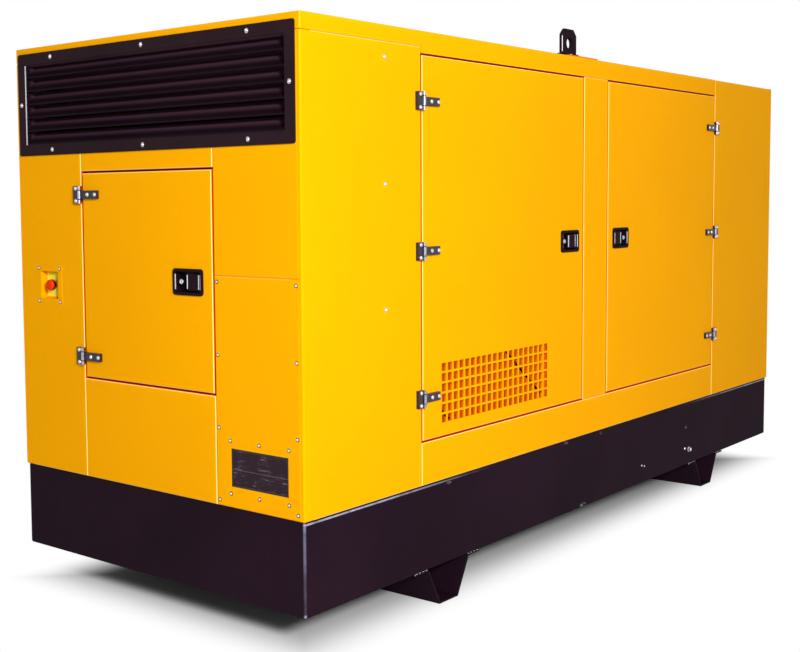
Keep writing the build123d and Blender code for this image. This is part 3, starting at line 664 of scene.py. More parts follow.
def finish_of(name):
    """A material by name, made when it is first asked for."""
    found = bpy.data.materials.get(name)
    if found:
        return found
    finish = settings("finish")
    makers = {
        # The number after each paint is how strong its painted highlight on rounded edges is.
        "canopy_paint": lambda: canopy_paint(name, finish.canopy, 0.15),
        "panel_paint": lambda: panel_paint(name, 0.92),
        "roof_paint": lambda: panel_paint(name, 0.15),
        # Painted shade: the stops take the orange-brown that stands in for the shade deep in the door gaps.
        "stop_paint": lambda: canopy_paint(name, finish.stops, 0.0),
        # Painted shade: the doublers take the baffle's shaded orange in place of the canopy's yellow.
        "doubler_paint": lambda: canopy_paint(name, finish.baffle, 0.0),
        "louvre_frame_paint": lambda: black_paint(name, finish.louvre_frame, 0.08, 0.35),
        "vent_lining": lambda: black_paint(name, finish.vent_lining, 0.0, 0.3),
        "zinc": lambda: plated(name, finish.zinc, 0.30),
        "trim": lambda: plated(name, finish.trim, 0.30, 0.35),
        "weld_steel": lambda: plated(name, finish.steel, 0.34),
        "stop_yellow": lambda: button_plastic(name, finish.stop_yellow),
        "baffle_paint": baffle_paint,
        "base_paint": base_paint,
        "louvre_paint": louvre_paint,
        "hinge_finish": hinge_finish,
        "latch_plastic": latch_plastic,
        "flap_sheet": flap_sheet,
        "seal_rubber": seal_rubber,
        "lining_foam": lining_foam,
        "button_red": button_red,
    }
    return makers[name]()


# Mesh helpers


def revolve(profile, steps):
    """A mesh turned round Z from points of radius and height. The profile runs from axis to axis."""
    shape = bmesh.new()
    points = [shape.verts.new((radius, 0.0, height)) for radius, height in profile]
    for first, second in zip(points, points[1:]):
        shape.edges.new((first, second))
    bmesh.ops.spin(
        shape,
        geom=shape.verts[:] + shape.edges[:],
        cent=(0.0, 0.0, 0.0),
        axis=UP,
        angle=math.tau,
        steps=steps,
        use_merge=True,
    )
    bmesh.ops.remove_doubles(shape, verts=shape.verts[:], dist=1e-6)
    bmesh.ops.recalc_face_normals(shape, faces=shape.faces[:])
    mesh = bpy.data.meshes.new("turned")
    shape.to_mesh(mesh)
    shape.free()
    return mesh


def stamp(shape, mesh, matrix):
    """Adds a copy of a mesh to a bmesh, at a place."""
    before = len(shape.verts)
    shape.from_mesh(mesh)
    shape.verts.ensure_lookup_table()
    bmesh.ops.transform(shape, matrix=matrix, verts=shape.verts[before:])


def facing(place, outward, turn=0.0):
    """A place whose own Z points outward, turned about it."""
    spin = Matrix.Rotation(turn, 4, "Z")
    return Matrix.Translation(place) @ outward.to_track_quat("Z", "Y").to_matrix().to_4x4() @ spin


def bar(shape, low, high, edge):
    """A box between two corners with its edges rounded."""
    size = Vector(high) - Vector(low)
    matrix = Matrix.Translation((Vector(low) + Vector(high)) / 2) @ Matrix.Diagonal((*size, 1.0))
    made = bmesh.ops.create_cube(shape, size=1.0, matrix=matrix)
    edges = list({item for vert in made["verts"] for item in vert.link_edges})
    bmesh.ops.bevel(shape, geom=edges, offset=edge, affect="EDGES", segments=2, profile=0.5, material=-1)


def piece(name, shape, finish, body):
    """Closes a bmesh into a piece that rides on a body."""
    mesh = bpy.data.meshes.new(name)
    shape.to_mesh(mesh)
    shape.free()
    mesh.shade_smooth()
    mesh.set_sharp_from_angle(angle=SHARP_ANGLE)
    mesh.materials.append(finish_of(finish))
    made = bpy.data.objects.new(name, mesh)
    bpy.context.scene.collection.objects.link(made)
    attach(made, body)
    return made


def bolt_head(radius, height, washer):
    """Domed head with a socket, on a washer where it has one."""
    socket = 0.42 * radius
    profile = [
        (0.0, 0.0),
        (max(radius, washer), 0.0),
        (max(radius, washer), 0.22 * height),
        (0.98 * radius, 0.24 * height),
        (0.92 * radius, 0.60 * height),
        (0.72 * radius, 0.88 * height),
        (socket, height),
        (0.9 * socket, 0.60 * height),
        (0.0, 0.60 * height),
    ]
    return revolve(profile, 12)


def screws(name, places, body):
    """Small pan heads, each on a dark rubber washer that also stands in for the shadow round the head."""
    sizes = settings("fasteners")
    bolts(name, places, sizes.screw_radius, sizes.screw_height, body)
    rim, sheet = sizes.screw_shadow_washer, sizes.screw_height * 0.2
    disc = revolve([(0.0, 0.0), (rim, 0.0), (rim * 0.97, sheet), (0.0, sheet)], 16)
    shape = bmesh.new()
    for place, outward in places:
        stamp(shape, disc, facing(Vector(place), outward))
    bpy.data.meshes.remove(disc)
    piece(f"{name}_washers", shape, "seal_rubber", body)


def bolts(name, places, radius, height, body, washer=0.0, finish="zinc"):
    """Bolt heads at places, each with the way that it faces."""
    head = bolt_head(radius, height, washer)
    shape = bmesh.new()
    for index, (place, outward) in enumerate(places):
        stamp(shape, head, facing(Vector(place), outward, index * HEAD_TURN))
    bpy.data.meshes.remove(head)
    return piece(name, shape, finish, body)


def spread(low, high, count):
    """Evenly spaced values from the lowest to the highest."""
    return [low + (high - low) * index / (count - 1) for index in range(count)]


def mirrored(places):
    """The same places and ways on the rear long side."""
    flip = Vector((1.0, -1.0, 1.0))
    return [(Vector(place) * flip, outward * flip) for place, outward in places]


# Hinges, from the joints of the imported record


def joint_place(name):
    """A joint's place in the frame."""
    return Vector(next(joint["pos_m"] for joint in frame["joints"] if joint["name"] == name))


class Hinge:
    """One row of hinges on one door: its pin, heights, and the ways out of the panel and along the door."""

    def __init__(self, joint, leaves, body, count, outward, along):
        half = settings("fasteners").barrel_half
        low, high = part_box(leaves)
        self.pin = joint_place(joint)
        self.heights = spread(low.z + half, high.z - half, count)
        self.body, self.outward, self.along = body, outward, along
        self.face = cad_face(outward)

    def on_plate(self, reach, rise, height):
        """A point on the front of a hinge plate, at a reach from the pin along the door."""
        place = self.pin + self.along * reach
        front = self.face + settings("fasteners").hinge_sheet
        place -= self.outward * (place.dot(self.outward) - front)
        place.z = height + rise
        return place, self.outward


def cad_face(outward):
    """How far out the plain face of the canopy lies on one side."""
    low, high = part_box("radiator_side_panel_front")
    if outward == TO_FRONT:
        return -low.y
    if outward == TO_RADIATOR:
        return high.x
    return -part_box("control_side_panel_front")[0].x


def hinge_rows():
    """The hinges of the three doors that open."""
    return (
        Hinge("side_door_a_hinge", "side_door_a_hinge_leaves", "side_door_a", 3, TO_FRONT, TO_RADIATOR),
        Hinge("side_door_b_hinge", "side_door_b_hinge_leaves", "side_door_b", 3, TO_FRONT, TO_CONTROL),
        Hinge("end_door_hinge", "end_door_hinge_leaves", "end_door", 2, TO_CONTROL, TO_FRONT),
    )


def hinge_pins():
    """Hinge pins seen from above, with those of the rear doors."""
    pins = [joint_place(f"{door}_hinge") for door in DOORS]
    return pins + [Vector((pin.x, -pin.y, pin.z)) for pin in pins[:2]]


# Operators


class GENERATOR_OT_paint(bpy.types.Operator):
    """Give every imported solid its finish"""

    bl_idname = "generator.paint"
    bl_label = "Paint the Solids"

    finishes = {
        "canopy_paint": ("emergency_stop_box", "cable_upper_panel", "cable_access_panel"),
        "roof_paint": ("control_end_roof", "centre_roof", "radiator_end_roof"),
        "stop_paint": ("door_stops",),
        "baffle_paint": ("side_door_a_baffle",),
        "doubler_paint": ("lug_doublers",),
        "base_paint": ("base_side_rails", "base_end_rails", "fuel_tank", "feet", "lifting_lugs"),
        "louvre_frame_paint": ("control_louvre_frame", "radiator_louvre_frame"),
        "louvre_paint": ("control_louvre_blades", "radiator_louvre_blades"),
        "hinge_finish": ("hinge_brackets", "rear_door_fittings", *(f"{door}_hinge_leaves" for door in DOORS)),
        "latch_plastic": [f"{door}_{part}" for door in DOORS for part in ("latch", "paddle")],
        "zinc": ("louvre_bolts",),
        "flap_sheet": ("cable_outlet_flaps",),
        "button_red": ("emergency_stop_button",),
    }

    def execute(self, context):
        special = {name: finish for finish, names in self.finishes.items() for name in names}
        for name, solid in frame["nodes"].items():
            solid.data.materials.clear()
            solid.data.materials.append(finish_of(special.get(name, "panel_paint")))
        return {"FINISHED"}


class GENERATOR_OT_louvre_fittings(bpy.types.Operator):
    """Bolt the louvre frames on and line the sides of the vents with bright strips, made near-white as a
    painted highlight
    """

    bl_idname = "generator.louvre_fittings"
    bl_label = "Fit the Louvres"

    strip_sheet = 0.0005
    strip_depth = 0.0065
    strip_setback = 0.0006
    box_depth = 0.150
    box_sheet = 0.006
    edge = 0.0001

    def execute(self, context):
        places = []
        for end, outward in (("control", TO_CONTROL), ("radiator", TO_RADIATOR)):
            places += self.bolt_places(end, outward)
            self.line_sides(end, outward)
            self.line_back(end, outward)
        sizes = settings("fasteners")
        made = bolts(
            "louvre_frame_bolts", places, sizes.frame_radius, sizes.frame_height, HOUSING, sizes.washer_radius
        )
        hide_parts("louvre_bolts")
        return {"FINISHED"}

    def front(self, end, outward):
        """The front of a louvre frame."""
        low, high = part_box(f"{end}_louvre_frame")
        return low.x if outward.x < 0 else high.x

    def bolt_places(self, end, outward):
        sizes = settings("fasteners")
        low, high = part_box(f"{end}_louvre_frame")
        x = self.front(end, outward)
        across = sizes.frame_share * (high.y - low.y)
        rows = (low.z + sizes.frame_inset, high.z - sizes.frame_inset)
        places = [(x, y, z) for z in rows for y in (-across, 0.0, across)]
        sides = (low.y + sizes.frame_inset, high.y - sizes.frame_inset)
        places += [(x, y, (low.z + high.z) / 2) for y in sides]
        return [(place, outward) for place in places]

    def slab(self, shape, x, depth, outward, y0, y1, z0, z1):
        """A plate that starts at a place behind the louvre and runs inward."""
        x_in = x - outward.x * depth
        bar(shape, (min(x, x_in), y0, z0), (max(x, x_in), y1, z1), self.edge)

    def line_sides(self, end, outward):
        """Bright strips down the insides of the frame, near-white so that they paint a highlight there."""
        low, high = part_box(f"{end}_louvre_blades")
        x = self.front(end, outward) - outward.x * self.strip_setback
        shape = bmesh.new()
        for outer in (low.y, high.y):
            inner = outer - math.copysign(self.strip_sheet, outer)
            self.slab(shape, x, self.strip_depth, outward, *sorted((outer, inner)), low.z, high.z)
        piece(f"{end}_vent_strips", shape, "trim", HOUSING)

    def line_back(self, end, outward):
        """A box behind the blades that stands in for the vent's deep shade, so that the vent looks deep,
        coloured lighter than the blades as painted light.
        """
        low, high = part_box(f"{end}_louvre_blades")
        sheet = self.box_sheet
        face = low.x if outward.x > 0 else high.x
        start = self.front(end, outward) - outward.x * 2 * self.strip_depth
        shape = bmesh.new()
        self.slab(shape, start, self.box_depth, outward, low.y, high.y, high.z, high.z + sheet)
        self.slab(shape, face, self.box_depth, outward, low.y, high.y, low.z - sheet, low.z)
        for y0, y1 in ((low.y - sheet, low.y), (high.y, high.y + sheet)):
            self.slab(shape, face, self.box_depth, outward, y0, y1, low.z - sheet, high.z + sheet)
        back = face - outward.x * self.box_depth
        self.slab(shape, back, sheet, outward, low.y - sheet, high.y + sheet, low.z - sheet, high.z + sheet)
        piece(f"{end}_vent_lining", shape, "vent_lining", HOUSING)


class GENERATOR_OT_panel_bolts(bpy.types.Operator):
    """Bolt the access panel, the cable outlet, the emergency stop and the side panels"""

    bl_idname = "generator.panel_bolts"
    bl_label = "Bolt the Panels"

    def execute(self, context):
        sizes = settings("fasteners")
        screws("access_panel_screws", self.access_places(sizes), HOUSING)
        screws("cable_outlet_screws", self.outlet_places(sizes), HOUSING)
        screws("emergency_stop_screws", self.stop_places(sizes), HOUSING)
        side = self.side_places(sizes)
        bolts(
            "side_panel_bolts",
            side + mirrored(side),
            sizes.side_radius,
            sizes.frame_height,
            HOUSING,
            sizes.washer_radius,
        )
        return {"FINISHED"}

    def access_places(self, sizes):
        low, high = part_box("cable_access_panel")
        columns = (low.y + sizes.access_inset_side, high.y - sizes.access_inset_side)
        rows = spread(low.z + sizes.access_inset_end, high.z - sizes.access_inset_end, sizes.access_rows)
        return [((low.x, y, z), TO_CONTROL) for y in columns for z in rows]

    def outlet_places(self, sizes):
        low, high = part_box("cable_outlet_flaps")
        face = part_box("cable_access_panel")[0].x
        middle = (low.y + high.y) / 2
        rows = (low.z - sizes.outlet_margin, high.z + sizes.outlet_margin)
        columns = (middle - sizes.outlet_spread, middle, middle + sizes.outlet_spread)
        return [((face, y, z), TO_CONTROL) for z in rows for y in columns]

    def stop_places(self, sizes):
        low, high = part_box("emergency_stop_box")
        middle = (low + high) / 2
        reach = (-sizes.stop_spread, sizes.stop_spread)
        return [((low.x, middle.y + y, middle.z + z), TO_CONTROL) for y in reach for z in reach]

    def side_places(self, sizes):
        low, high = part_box("control_side_panel_front")
        x = low.x + sizes.side_setback
        heights = [high.z - sizes.side_drop - index * sizes.side_pitch for index in range(sizes.side_count)]
        return [((x, low.y, z), TO_FRONT) for z in heights]


class GENERATOR_OT_hinge_bolts(bpy.types.Operator):
    """Bolt the hinge brackets to the canopy and the hinge leaves to their doors"""

    bl_idname = "generator.hinge_bolts"
    bl_label = "Bolt the Hinges"

    def execute(self, context):
        sizes = settings("fasteners")
        radius, height = sizes.hinge_radius, sizes.hinge_height
        brackets, rear = [], []
        for row in hinge_rows():
            fixed, moving = self.bracket_places(row, sizes), self.leaf_places(row, sizes)
            brackets += fixed
            if row.outward == TO_FRONT:
                rear += mirrored(fixed + moving)
            bolts(f"{row.body}_hinge_bolts", moving, radius, height, row.body)
        bolts("hinge_bracket_bolts", brackets, radius, height, HOUSING)
        bolts("rear_hinge_bolts", rear, radius, height, HOUSING)
        return {"FINISHED"}

    def bracket_places(self, row, sizes):
        rises = (-sizes.bracket_spread, sizes.bracket_spread)
        return [row.on_plate(-sizes.bracket_reach, rise, height) for height in row.heights for rise in rises]

    def leaf_places(self, row, sizes):
        reaches = (sizes.leaf_reach, sizes.leaf_reach + sizes.leaf_pitch)
        return [row.on_plate(reach, 0.0, height) for height in row.heights for reach in reaches]


class GENERATOR_OT_latches(bpy.types.Operator):
    """Set a lock barrel with its key slot in every latch and lay bright strips on its edges as painted
    highlights
    """

    bl_idname = "generator.latches"
    bl_label = "Fit Out the Latches"

    border = 0.010
    highlight_sheet = 0.0022
    highlight_depth = 0.0035
    highlight_half = 0.026
    lip_width = 0.0042
    rib_width = 0.0034
    rib_place = 0.050
    setback = 0.0012
    lip_proud = 0.0004
    offset = 0.037
    recess = 0.003
    radius = 0.0086
    rim = 0.0016
    height = 0.0018
    slot_size = (0.0017, 0.0088, 0.0006)

    def execute(self, context):
        for body, outward, to_hinge in (
            ("side_door_a", TO_FRONT, TO_CONTROL),
            ("side_door_b", TO_FRONT, TO_RADIATOR),
            ("end_door", TO_CONTROL, TO_REAR),
        ):
            place = self.lock_place(body, outward, to_hinge)
            self.lock(f"{body}_lock", [(place, outward)], body)
            self.trim(body, outward, to_hinge)
            if outward == TO_FRONT:
                self.lock(f"rear_{body[5:]}_lock", mirrored([(place, outward)]), HOUSING)
        return {"FINISHED"}

    def trim(self, body, outward, to_hinge):
        """Bright strips that paint highlights on the ends of the dish, and on the paddle's lip and rib."""
        low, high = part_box(f"{body}_latch")
        middle, half = (low + high) / 2, (high - low) / 2
        front = max(low.dot(outward), high.dot(outward)) - self.setback
        reach = abs(half.dot(to_hinge)) - self.border
        shape = bmesh.new()
        for side in (-1.0, 1.0):
            along = sorted((side * reach, side * (reach - self.highlight_sheet)))
            out = (front - self.highlight_depth, front)
            self.strip(shape, middle, outward, to_hinge, along, out, self.highlight_half)
        piece(f"{body}_latch_trim", shape, "trim", body)
        low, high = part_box(f"{body}_paddle")
        front = max(low.dot(outward), high.dot(outward))
        lip = max((low - middle).dot(to_hinge), (high - middle).dot(to_hinge))
        tall = (high.z - low.z) / 2 - self.lip_width
        shape = bmesh.new()
        out = (front - 2 * self.setback, front + self.lip_proud)
        for start, width in ((lip - self.lip_width, self.lip_width), (-self.rib_place, self.rib_width)):
            self.strip(shape, middle, outward, to_hinge, (start, start + width), out, tall)
        piece(f"{body}_paddle_trim", shape, "trim", f"{body}_paddle")

    def strip(self, shape, middle, outward, to_hinge, along, out, tall):
        """An upright bar at a place along a latch and out from the origin."""
        flat = middle - outward * middle.dot(outward)
        ends = zip(along, out, (-tall, tall))
        first, last = (flat + to_hinge * a + outward * o + UP * z for a, o, z in ends)
        low = Vector(min(pair) for pair in zip(first, last))
        high = Vector(max(pair) for pair in zip(first, last))
        bar(shape, low, high, self.highlight_sheet * 0.3)

    def lock_place(self, body, outward, to_hinge):
        low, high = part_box(f"{body}_latch")
        place = (low + high) / 2 + to_hinge * self.offset
        return place - outward * (place.dot(outward) - cad_face(outward) + self.recess)

    def lock(self, name, places, body):
        floor = self.height * 0.45
        inner = self.radius - self.rim
        barrel = revolve(
            [
                (0.0, 0.0),
                (self.radius, 0.0),
                (self.radius, self.height * 0.7),
                (self.radius - self.rim * 0.3, self.height),
                (inner, self.height),
                (inner - self.rim * 0.3, floor),
                (0.0, floor),
            ],
            24,
        )
        shape, slots = bmesh.new(), bmesh.new()
        half = Vector(self.slot_size) / 2
        for place, outward in places:
            matrix = facing(place, outward)
            stamp(shape, barrel, matrix)
            cut = bmesh.new()
            bar(cut, (-half.x, -half.y, floor - half.z), (half.x, half.y, floor + half.z), half.z * 0.5)
            mesh = bpy.data.meshes.new("key_slot")
            cut.to_mesh(mesh)
            cut.free()
            stamp(slots, mesh, matrix)
            bpy.data.meshes.remove(mesh)
        bpy.data.meshes.remove(barrel)
        piece(name, shape, "zinc", body)
        piece(f"{name}_key_slot", slots, "latch_plastic", body)


class GENERATOR_OT_stop_plate(bpy.types.Operator):
    """Lay the plain yellow plate behind the emergency stop button"""

    bl_idname = "generator.stop_plate"
    bl_label = "Lay the Stop Plate"

    radius = 0.0655
    bore = 0.0175
    thickness = 0.0014
    sheet = 0.002

    def execute(self, context):
        low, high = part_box("emergency_stop_box")
        middle = (low + high) / 2
        floor = Vector((high.x - self.sheet, middle.y, middle.z))
        edge = self.thickness * 0.4
        profile = [
            (self.bore, 0.0),
            (self.radius, 0.0),
            (self.radius, self.thickness - edge),
            (self.radius - edge, self.thickness),
            (self.bore, self.thickness),
            (self.bore, 0.0),
        ]
        plate = revolve(profile, 4)
        shape = bmesh.new()
        stamp(shape, plate, facing(floor, TO_CONTROL, math.pi / 4))
        bpy.data.meshes.remove(plate)
        piece("emergency_stop_plate", shape, "stop_yellow", HOUSING)
        return {"FINISHED"}


class GENERATOR_OT_cable_flaps(bpy.types.Operator):
    """Hang two creased rubber flaps in the cable outlet"""

    bl_idname = "generator.cable_flaps"
    bl_label = "Hang the Cable Flaps"

    columns = 28
    rows = 8
    sheet = 0.0018
    swell = 0.0009
    lap = 0.006
    edging = 0.0060

    def execute(self, context):
        low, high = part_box("cable_outlet_flaps")
        middle = (low.z + high.z) / 2
        inset = Vector((0.0, self.edging, self.edging))
        inner_low, inner_high = low + inset, high - inset
        shape = bmesh.new()
        self.flap(shape, inner_low, inner_high, inner_high.z, middle - self.lap, 0.0, 0.0)
        self.flap(shape, inner_low, inner_high, inner_low.z, middle, self.sheet + self.swell, 1.9)
        made = piece("cable_flaps", shape, "flap_sheet", HOUSING)
        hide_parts("cable_outlet_flaps")
        self.edge(low, high)
        return {"FINISHED"}

    def edge(self, low, high):
        """Black edging round the opening."""
        x0, x1 = low.x, low.x + 4 * self.sheet
        y0, y1, wide = low.y, high.y, self.edging
        shape = bmesh.new()
        for z in (low.z, high.z - wide):
            bar(shape, (x0, y0, z), (x1, y1, z + wide), self.swell * 0.5)
        for y in (y0, y1 - wide):
            bar(shape, (x0, y, low.z), (x1, y + wide, high.z), self.swell * 0.5)
        piece("cable_outlet_edging", shape, "seal_rubber", HOUSING)

    def flap(self, shape, low, high, z_held, z_free, depth, phase):
        """One sheet from its held edge to its free edge, with ripples that grow towards the free edge."""
        size = Vector((high.y - low.y, abs(z_free - z_held), 1.0))
        turn = facing(Vector((low.x + depth, (low.y + high.y) / 2, (z_held + z_free) / 2)), TO_CONTROL)
        made = bmesh.ops.create_grid(
            shape,
            x_segments=self.columns,
            y_segments=self.rows,
            size=0.5,
            matrix=turn @ Matrix.Diagonal((*size, 1.0)),
        )
        faces = list({face for vert in made["verts"] for face in vert.link_faces})
        for vert in made["verts"]:
            share = (vert.co.z - z_held) / (z_free - z_held)
            along = (vert.co.y - low.y) / (high.y - low.y)
            ripple = math.sin(along * 9.0 + phase) * 0.5 + math.sin(along * 23.0 + 2.0 * phase) * 0.25
            vert.co.x += self.swell * share * share * ripple
        front = bmesh.ops.extrude_face_region(shape, geom=faces)["geom"]
        moved = [item for item in front if isinstance(item, bmesh.types.BMVert)]
        bmesh.ops.translate(shape, vec=TO_RADIATOR * self.sheet, verts=moved)
        bmesh.ops.recalc_face_normals(shape, faces=shape.faces[:])


class GENERATOR_OT_base_fittings(bpy.types.Operator):
    """Add the plugs and rivets of the base, the weld beads of its feet and the bolts of the lifting lugs"""

    bl_idname = "generator.base_fittings"
    bl_label = "Fit Out the Base"

    plug_place = (0.930, 0.0755)
    plug_radius = 0.0100
    plug_height = 0.015
    gauge_place = (0.8888, 0.0848)
    rivet_places = ((0.4177, 0.0824), (0.4437, 0.0755))
    flange_width = 0.070
    foot_half = 0.202
    bead_radius = 0.0046
    bead_pitch = 0.0055
    bead_inset = 0.0045
    bead_drop = 0.003
    bead_wander = 0.0009
    bead_shape = (0.75, 1.0, 0.8, 1.0)
    lug_foot_height = 0.010

    def execute(self, context):
        sizes = settings("fasteners")
        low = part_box("base_side_rails")[0]
        self.plug(low)
        x, rise = self.gauge_place
        dots = [((x, low.y, low.z + rise), TO_FRONT)]
        bolts("base_plug_bolts", dots + mirrored(dots), sizes.side_radius, sizes.frame_height, HOUSING)
        rivets = [((x, low.y, low.z + rise), TO_FRONT) for x, rise in self.rivet_places]
        rivets += mirrored(rivets)
        bolts("base_rivets", rivets, sizes.rivet_radius, sizes.screw_height, HOUSING, finish="weld_steel")
        self.weld_beads(low)
        self.lug_bolts(sizes)
        return {"FINISHED"}

    def plug(self, low):
        """A hexagon plug on its collar, front and rear."""
        radius, height = self.plug_radius, self.plug_height
        collar = revolve(
            [(0.0, 0.0), (1.25 * radius, 0.0), (1.25 * radius, 0.25 * height), (0.0, 0.25 * height)], 24
        )
        hexagon = revolve(
            [
                (0.0, 0.2 * height),
                (radius, 0.2 * height),
                (radius, 0.88 * height),
                (0.82 * radius, height),
                (0.0, height),
            ],
            6,
        )
        x, rise = self.plug_place
        places = [(Vector((x, low.y, low.z + rise)), TO_FRONT)]
        shape = bmesh.new()
        for place, outward in places + mirrored(places):
            for mesh in (collar, hexagon):
                stamp(shape, mesh, facing(place, outward))
        for mesh in (collar, hexagon):
            bpy.data.meshes.remove(mesh)
        piece("base_plugs", shape, "zinc", HOUSING)

    def weld_beads(self, low):
        """Rippled beads along the outer ends of the feet's flanges, under the rails, in a near-white that
        paints their glint as a highlight.
        """
        count = round(self.flange_width / self.bead_pitch)
        shape = bmesh.new()
        feet_low, feet_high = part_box("feet")
        middles = (feet_low.x + self.foot_half, feet_high.x - self.foot_half)
        for middle in middles:
            for side in (-1.0, 1.0):
                x_outer = middle + side * self.foot_half
                for index in range(count):
                    x = x_outer - side * (index + 0.5) * self.bead_pitch
                    z = low.z - self.bead_drop + self.bead_wander * math.sin(index * 1.7)
                    for y in (low.y + self.bead_inset, -low.y - self.bead_inset):
                        matrix = Matrix.Translation((x, y, z)) @ Matrix.Diagonal(self.bead_shape)
                        bmesh.ops.create_uvsphere(
                            shape, u_segments=8, v_segments=6, radius=self.bead_radius, matrix=matrix
                        )
        piece("foot_weld_beads", shape, "trim", HOUSING)

    def lug_bolts(self, sizes):
        """One small bolt in the front of each lug's foot."""
        low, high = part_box("lifting_lugs")
        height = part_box("lug_doublers")[1].z + self.lug_foot_height / 2
        places = [(((low.x + high.x) / 2, low.y, height), TO_FRONT)]
        bolts("lug_bolts", places + mirrored(places), sizes.screw_radius * 0.9, sizes.screw_height, HOUSING)


class GENERATOR_OT_lining(bpy.types.Operator):
    """Line the walls, the roof and the doors with moulded foam boards"""

    bl_idname = "generator.lining"
    bl_label = "Line the Canopy"

    def execute(self, context):
        sizes = settings("lining")
        self.line("wall_lining", HOUSING, self.wall_boxes(sizes), sizes)
        self.line("roof_lining", HOUSING, self.roof_boxes(sizes), sizes)
        front_a, front_b = self.door_a_boxes(sizes), self.door_b_boxes(sizes)
        self.line("side_door_a_lining", "side_door_a", front_a, sizes)
        self.line("side_door_b_lining", "side_door_b", front_b, sizes)
        self.line("rear_door_lining", HOUSING, [self.flipped(item) for item in front_a + front_b], sizes)
        self.line("end_door_lining", "end_door", self.end_door_boxes(sizes), sizes)
        return {"FINISHED"}

    def line(self, name, body, boxes, sizes):
        shape = bmesh.new()
        for low, high, inward in boxes:
            board(shape, low, high, inward, sizes.cell, sizes.relief)
        bmesh.ops.recalc_face_normals(shape, faces=shape.faces[:])
        piece(name, shape, "lining_foam", body)

    def flipped(self, item):
        low, high, inward = item
        return Vector((low.x, -high.y, low.z)), Vector((high.x, -low.y, high.z)), inward * -1.0

    def wall_boxes(self, sizes):
        gap, thick = sizes.margin, sizes.wall_foam
        boxes = []
        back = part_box("door_posts")[0].y + wall_depth()
        for name in ("control_side_panel_front", "radiator_side_panel_front"):
            low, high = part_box(name)
            x0 = low.x + gap + (wall_depth() if "control" in name else 0.0)
            x1 = high.x - gap - (0.0 if "control" in name else wall_depth())
            box = board_box((x0, x1), (back, back + thick), (low.z + gap, high.z - 2 * gap), TO_REAR)
            boxes += [box, self.flipped(box)]
        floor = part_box("fuel_tank")[1].z + gap
        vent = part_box("control_louvre_blades")[0].z - gap
        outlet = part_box("cable_outlet_flaps")[1].z + gap
        cable_low, cable_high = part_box("cable_access_panel")
        stop_low, stop_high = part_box("emergency_stop_panel")
        end_low, end_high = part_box("radiator_end_wall")
        x0, x1 = cable_low.x + wall_depth(), end_high.x - wall_depth()
        front, rear = (x0, x0 + thick), (x1 - thick, x1)
        return boxes + [
            board_box(front, (cable_low.y + 2 * gap, cable_high.y - gap), (outlet, vent), TO_RADIATOR),
            board_box(front, (stop_low.y + gap, stop_high.y - 2 * gap), (floor, vent), TO_RADIATOR),
            board_box(rear, (end_low.y + 2 * gap, end_high.y - 2 * gap), (floor, vent), TO_CONTROL),
        ]

    def roof_boxes(self, sizes):
        gap, thick = sizes.margin, sizes.wall_foam
        boxes = []
        for name in ("control_end_roof", "centre_roof", "radiator_end_roof"):
            low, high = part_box(name)
            reach = min(-low.y, high.y) - 2 * gap
            start = low.x + gap + (wall_depth() if "control" in name else 0.0)
            stop = high.x - gap - (wall_depth() if "radiator" in name else 0.0)
            boxes.append(board_box((start, stop), (-reach, reach), (low.z - thick, low.z), -UP))
        return boxes

    def door_a_boxes(self, sizes):
        """Two boards that leave the pocket of the baffle free."""
        gap = sizes.margin
        low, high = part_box("side_door_a")
        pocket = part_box("side_door_a_baffle")[1]
        deep = (high.y, high.y + sizes.door_foam)
        split = pocket.z + gap / 2
        return [
            board_box((low.x + gap, high.x - gap), deep, (split, high.z - gap), TO_REAR),
            board_box((pocket.x + gap / 2, high.x - gap), deep, (low.z + gap, split - gap / 4), TO_REAR),
        ]

    def door_b_boxes(self, sizes):
        gap = sizes.margin
        low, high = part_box("side_door_b")
        deep = (high.y, high.y + sizes.door_foam)
        return [board_box((low.x + gap, high.x - gap), deep, (low.z + gap, high.z - gap), TO_REAR)]

    def end_door_boxes(self, sizes):
        gap = sizes.margin
        low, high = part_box("end_door")
        deep = (high.x, high.x + sizes.door_foam)
        return [board_box(deep, (low.y + gap, high.y - gap), (low.z + gap, high.z - gap), TO_RADIATOR)]


def wall_depth():
    """Thickness of the canopy's walls."""
    low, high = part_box("end_door_header")
    return high.x - low.x


def board_box(x, y, z, inward):
    """The corners of a board from its reach along X, Y and Z, and the way that its pads face."""
    low, high = (Vector(corner) for corner in zip(x, y, z))
    return low, high, inward


def board(shape, low, high, inward, cell, relief):
    """A foam board on a wall, with rows of raised pads on the side that looks inward."""
    up = UP if abs(inward.z) < 0.5 else TO_REAR
    right = up.cross(inward)
    size = high - low
    width, height, depth = (abs(size.dot(way)) for way in (right, up, inward))
    matrix = Matrix((right * width, up * height, inward)).transposed().to_4x4()
    matrix.translation = (low + high) / 2 - inward * depth / 2
    made = bmesh.ops.create_grid(
        shape,
        x_segments=max(1, round(width / cell)),
        y_segments=max(1, round(height / cell)),
        size=0.5,
        matrix=matrix,
    )
    faces = list({face for vert in made["verts"] for face in vert.link_faces})
    front = bmesh.ops.extrude_face_region(shape, geom=faces)["geom"]
    moved = [item for item in front if isinstance(item, bmesh.types.BMVert)]
    bmesh.ops.translate(shape, vec=inward * (depth - relief), verts=moved)
    pads = [item for item in front if isinstance(item, bmesh.types.BMFace)]
    bmesh.ops.inset_individual(shape, faces=pads, thickness=1.6 * relief, depth=relief, use_even_offset=True)


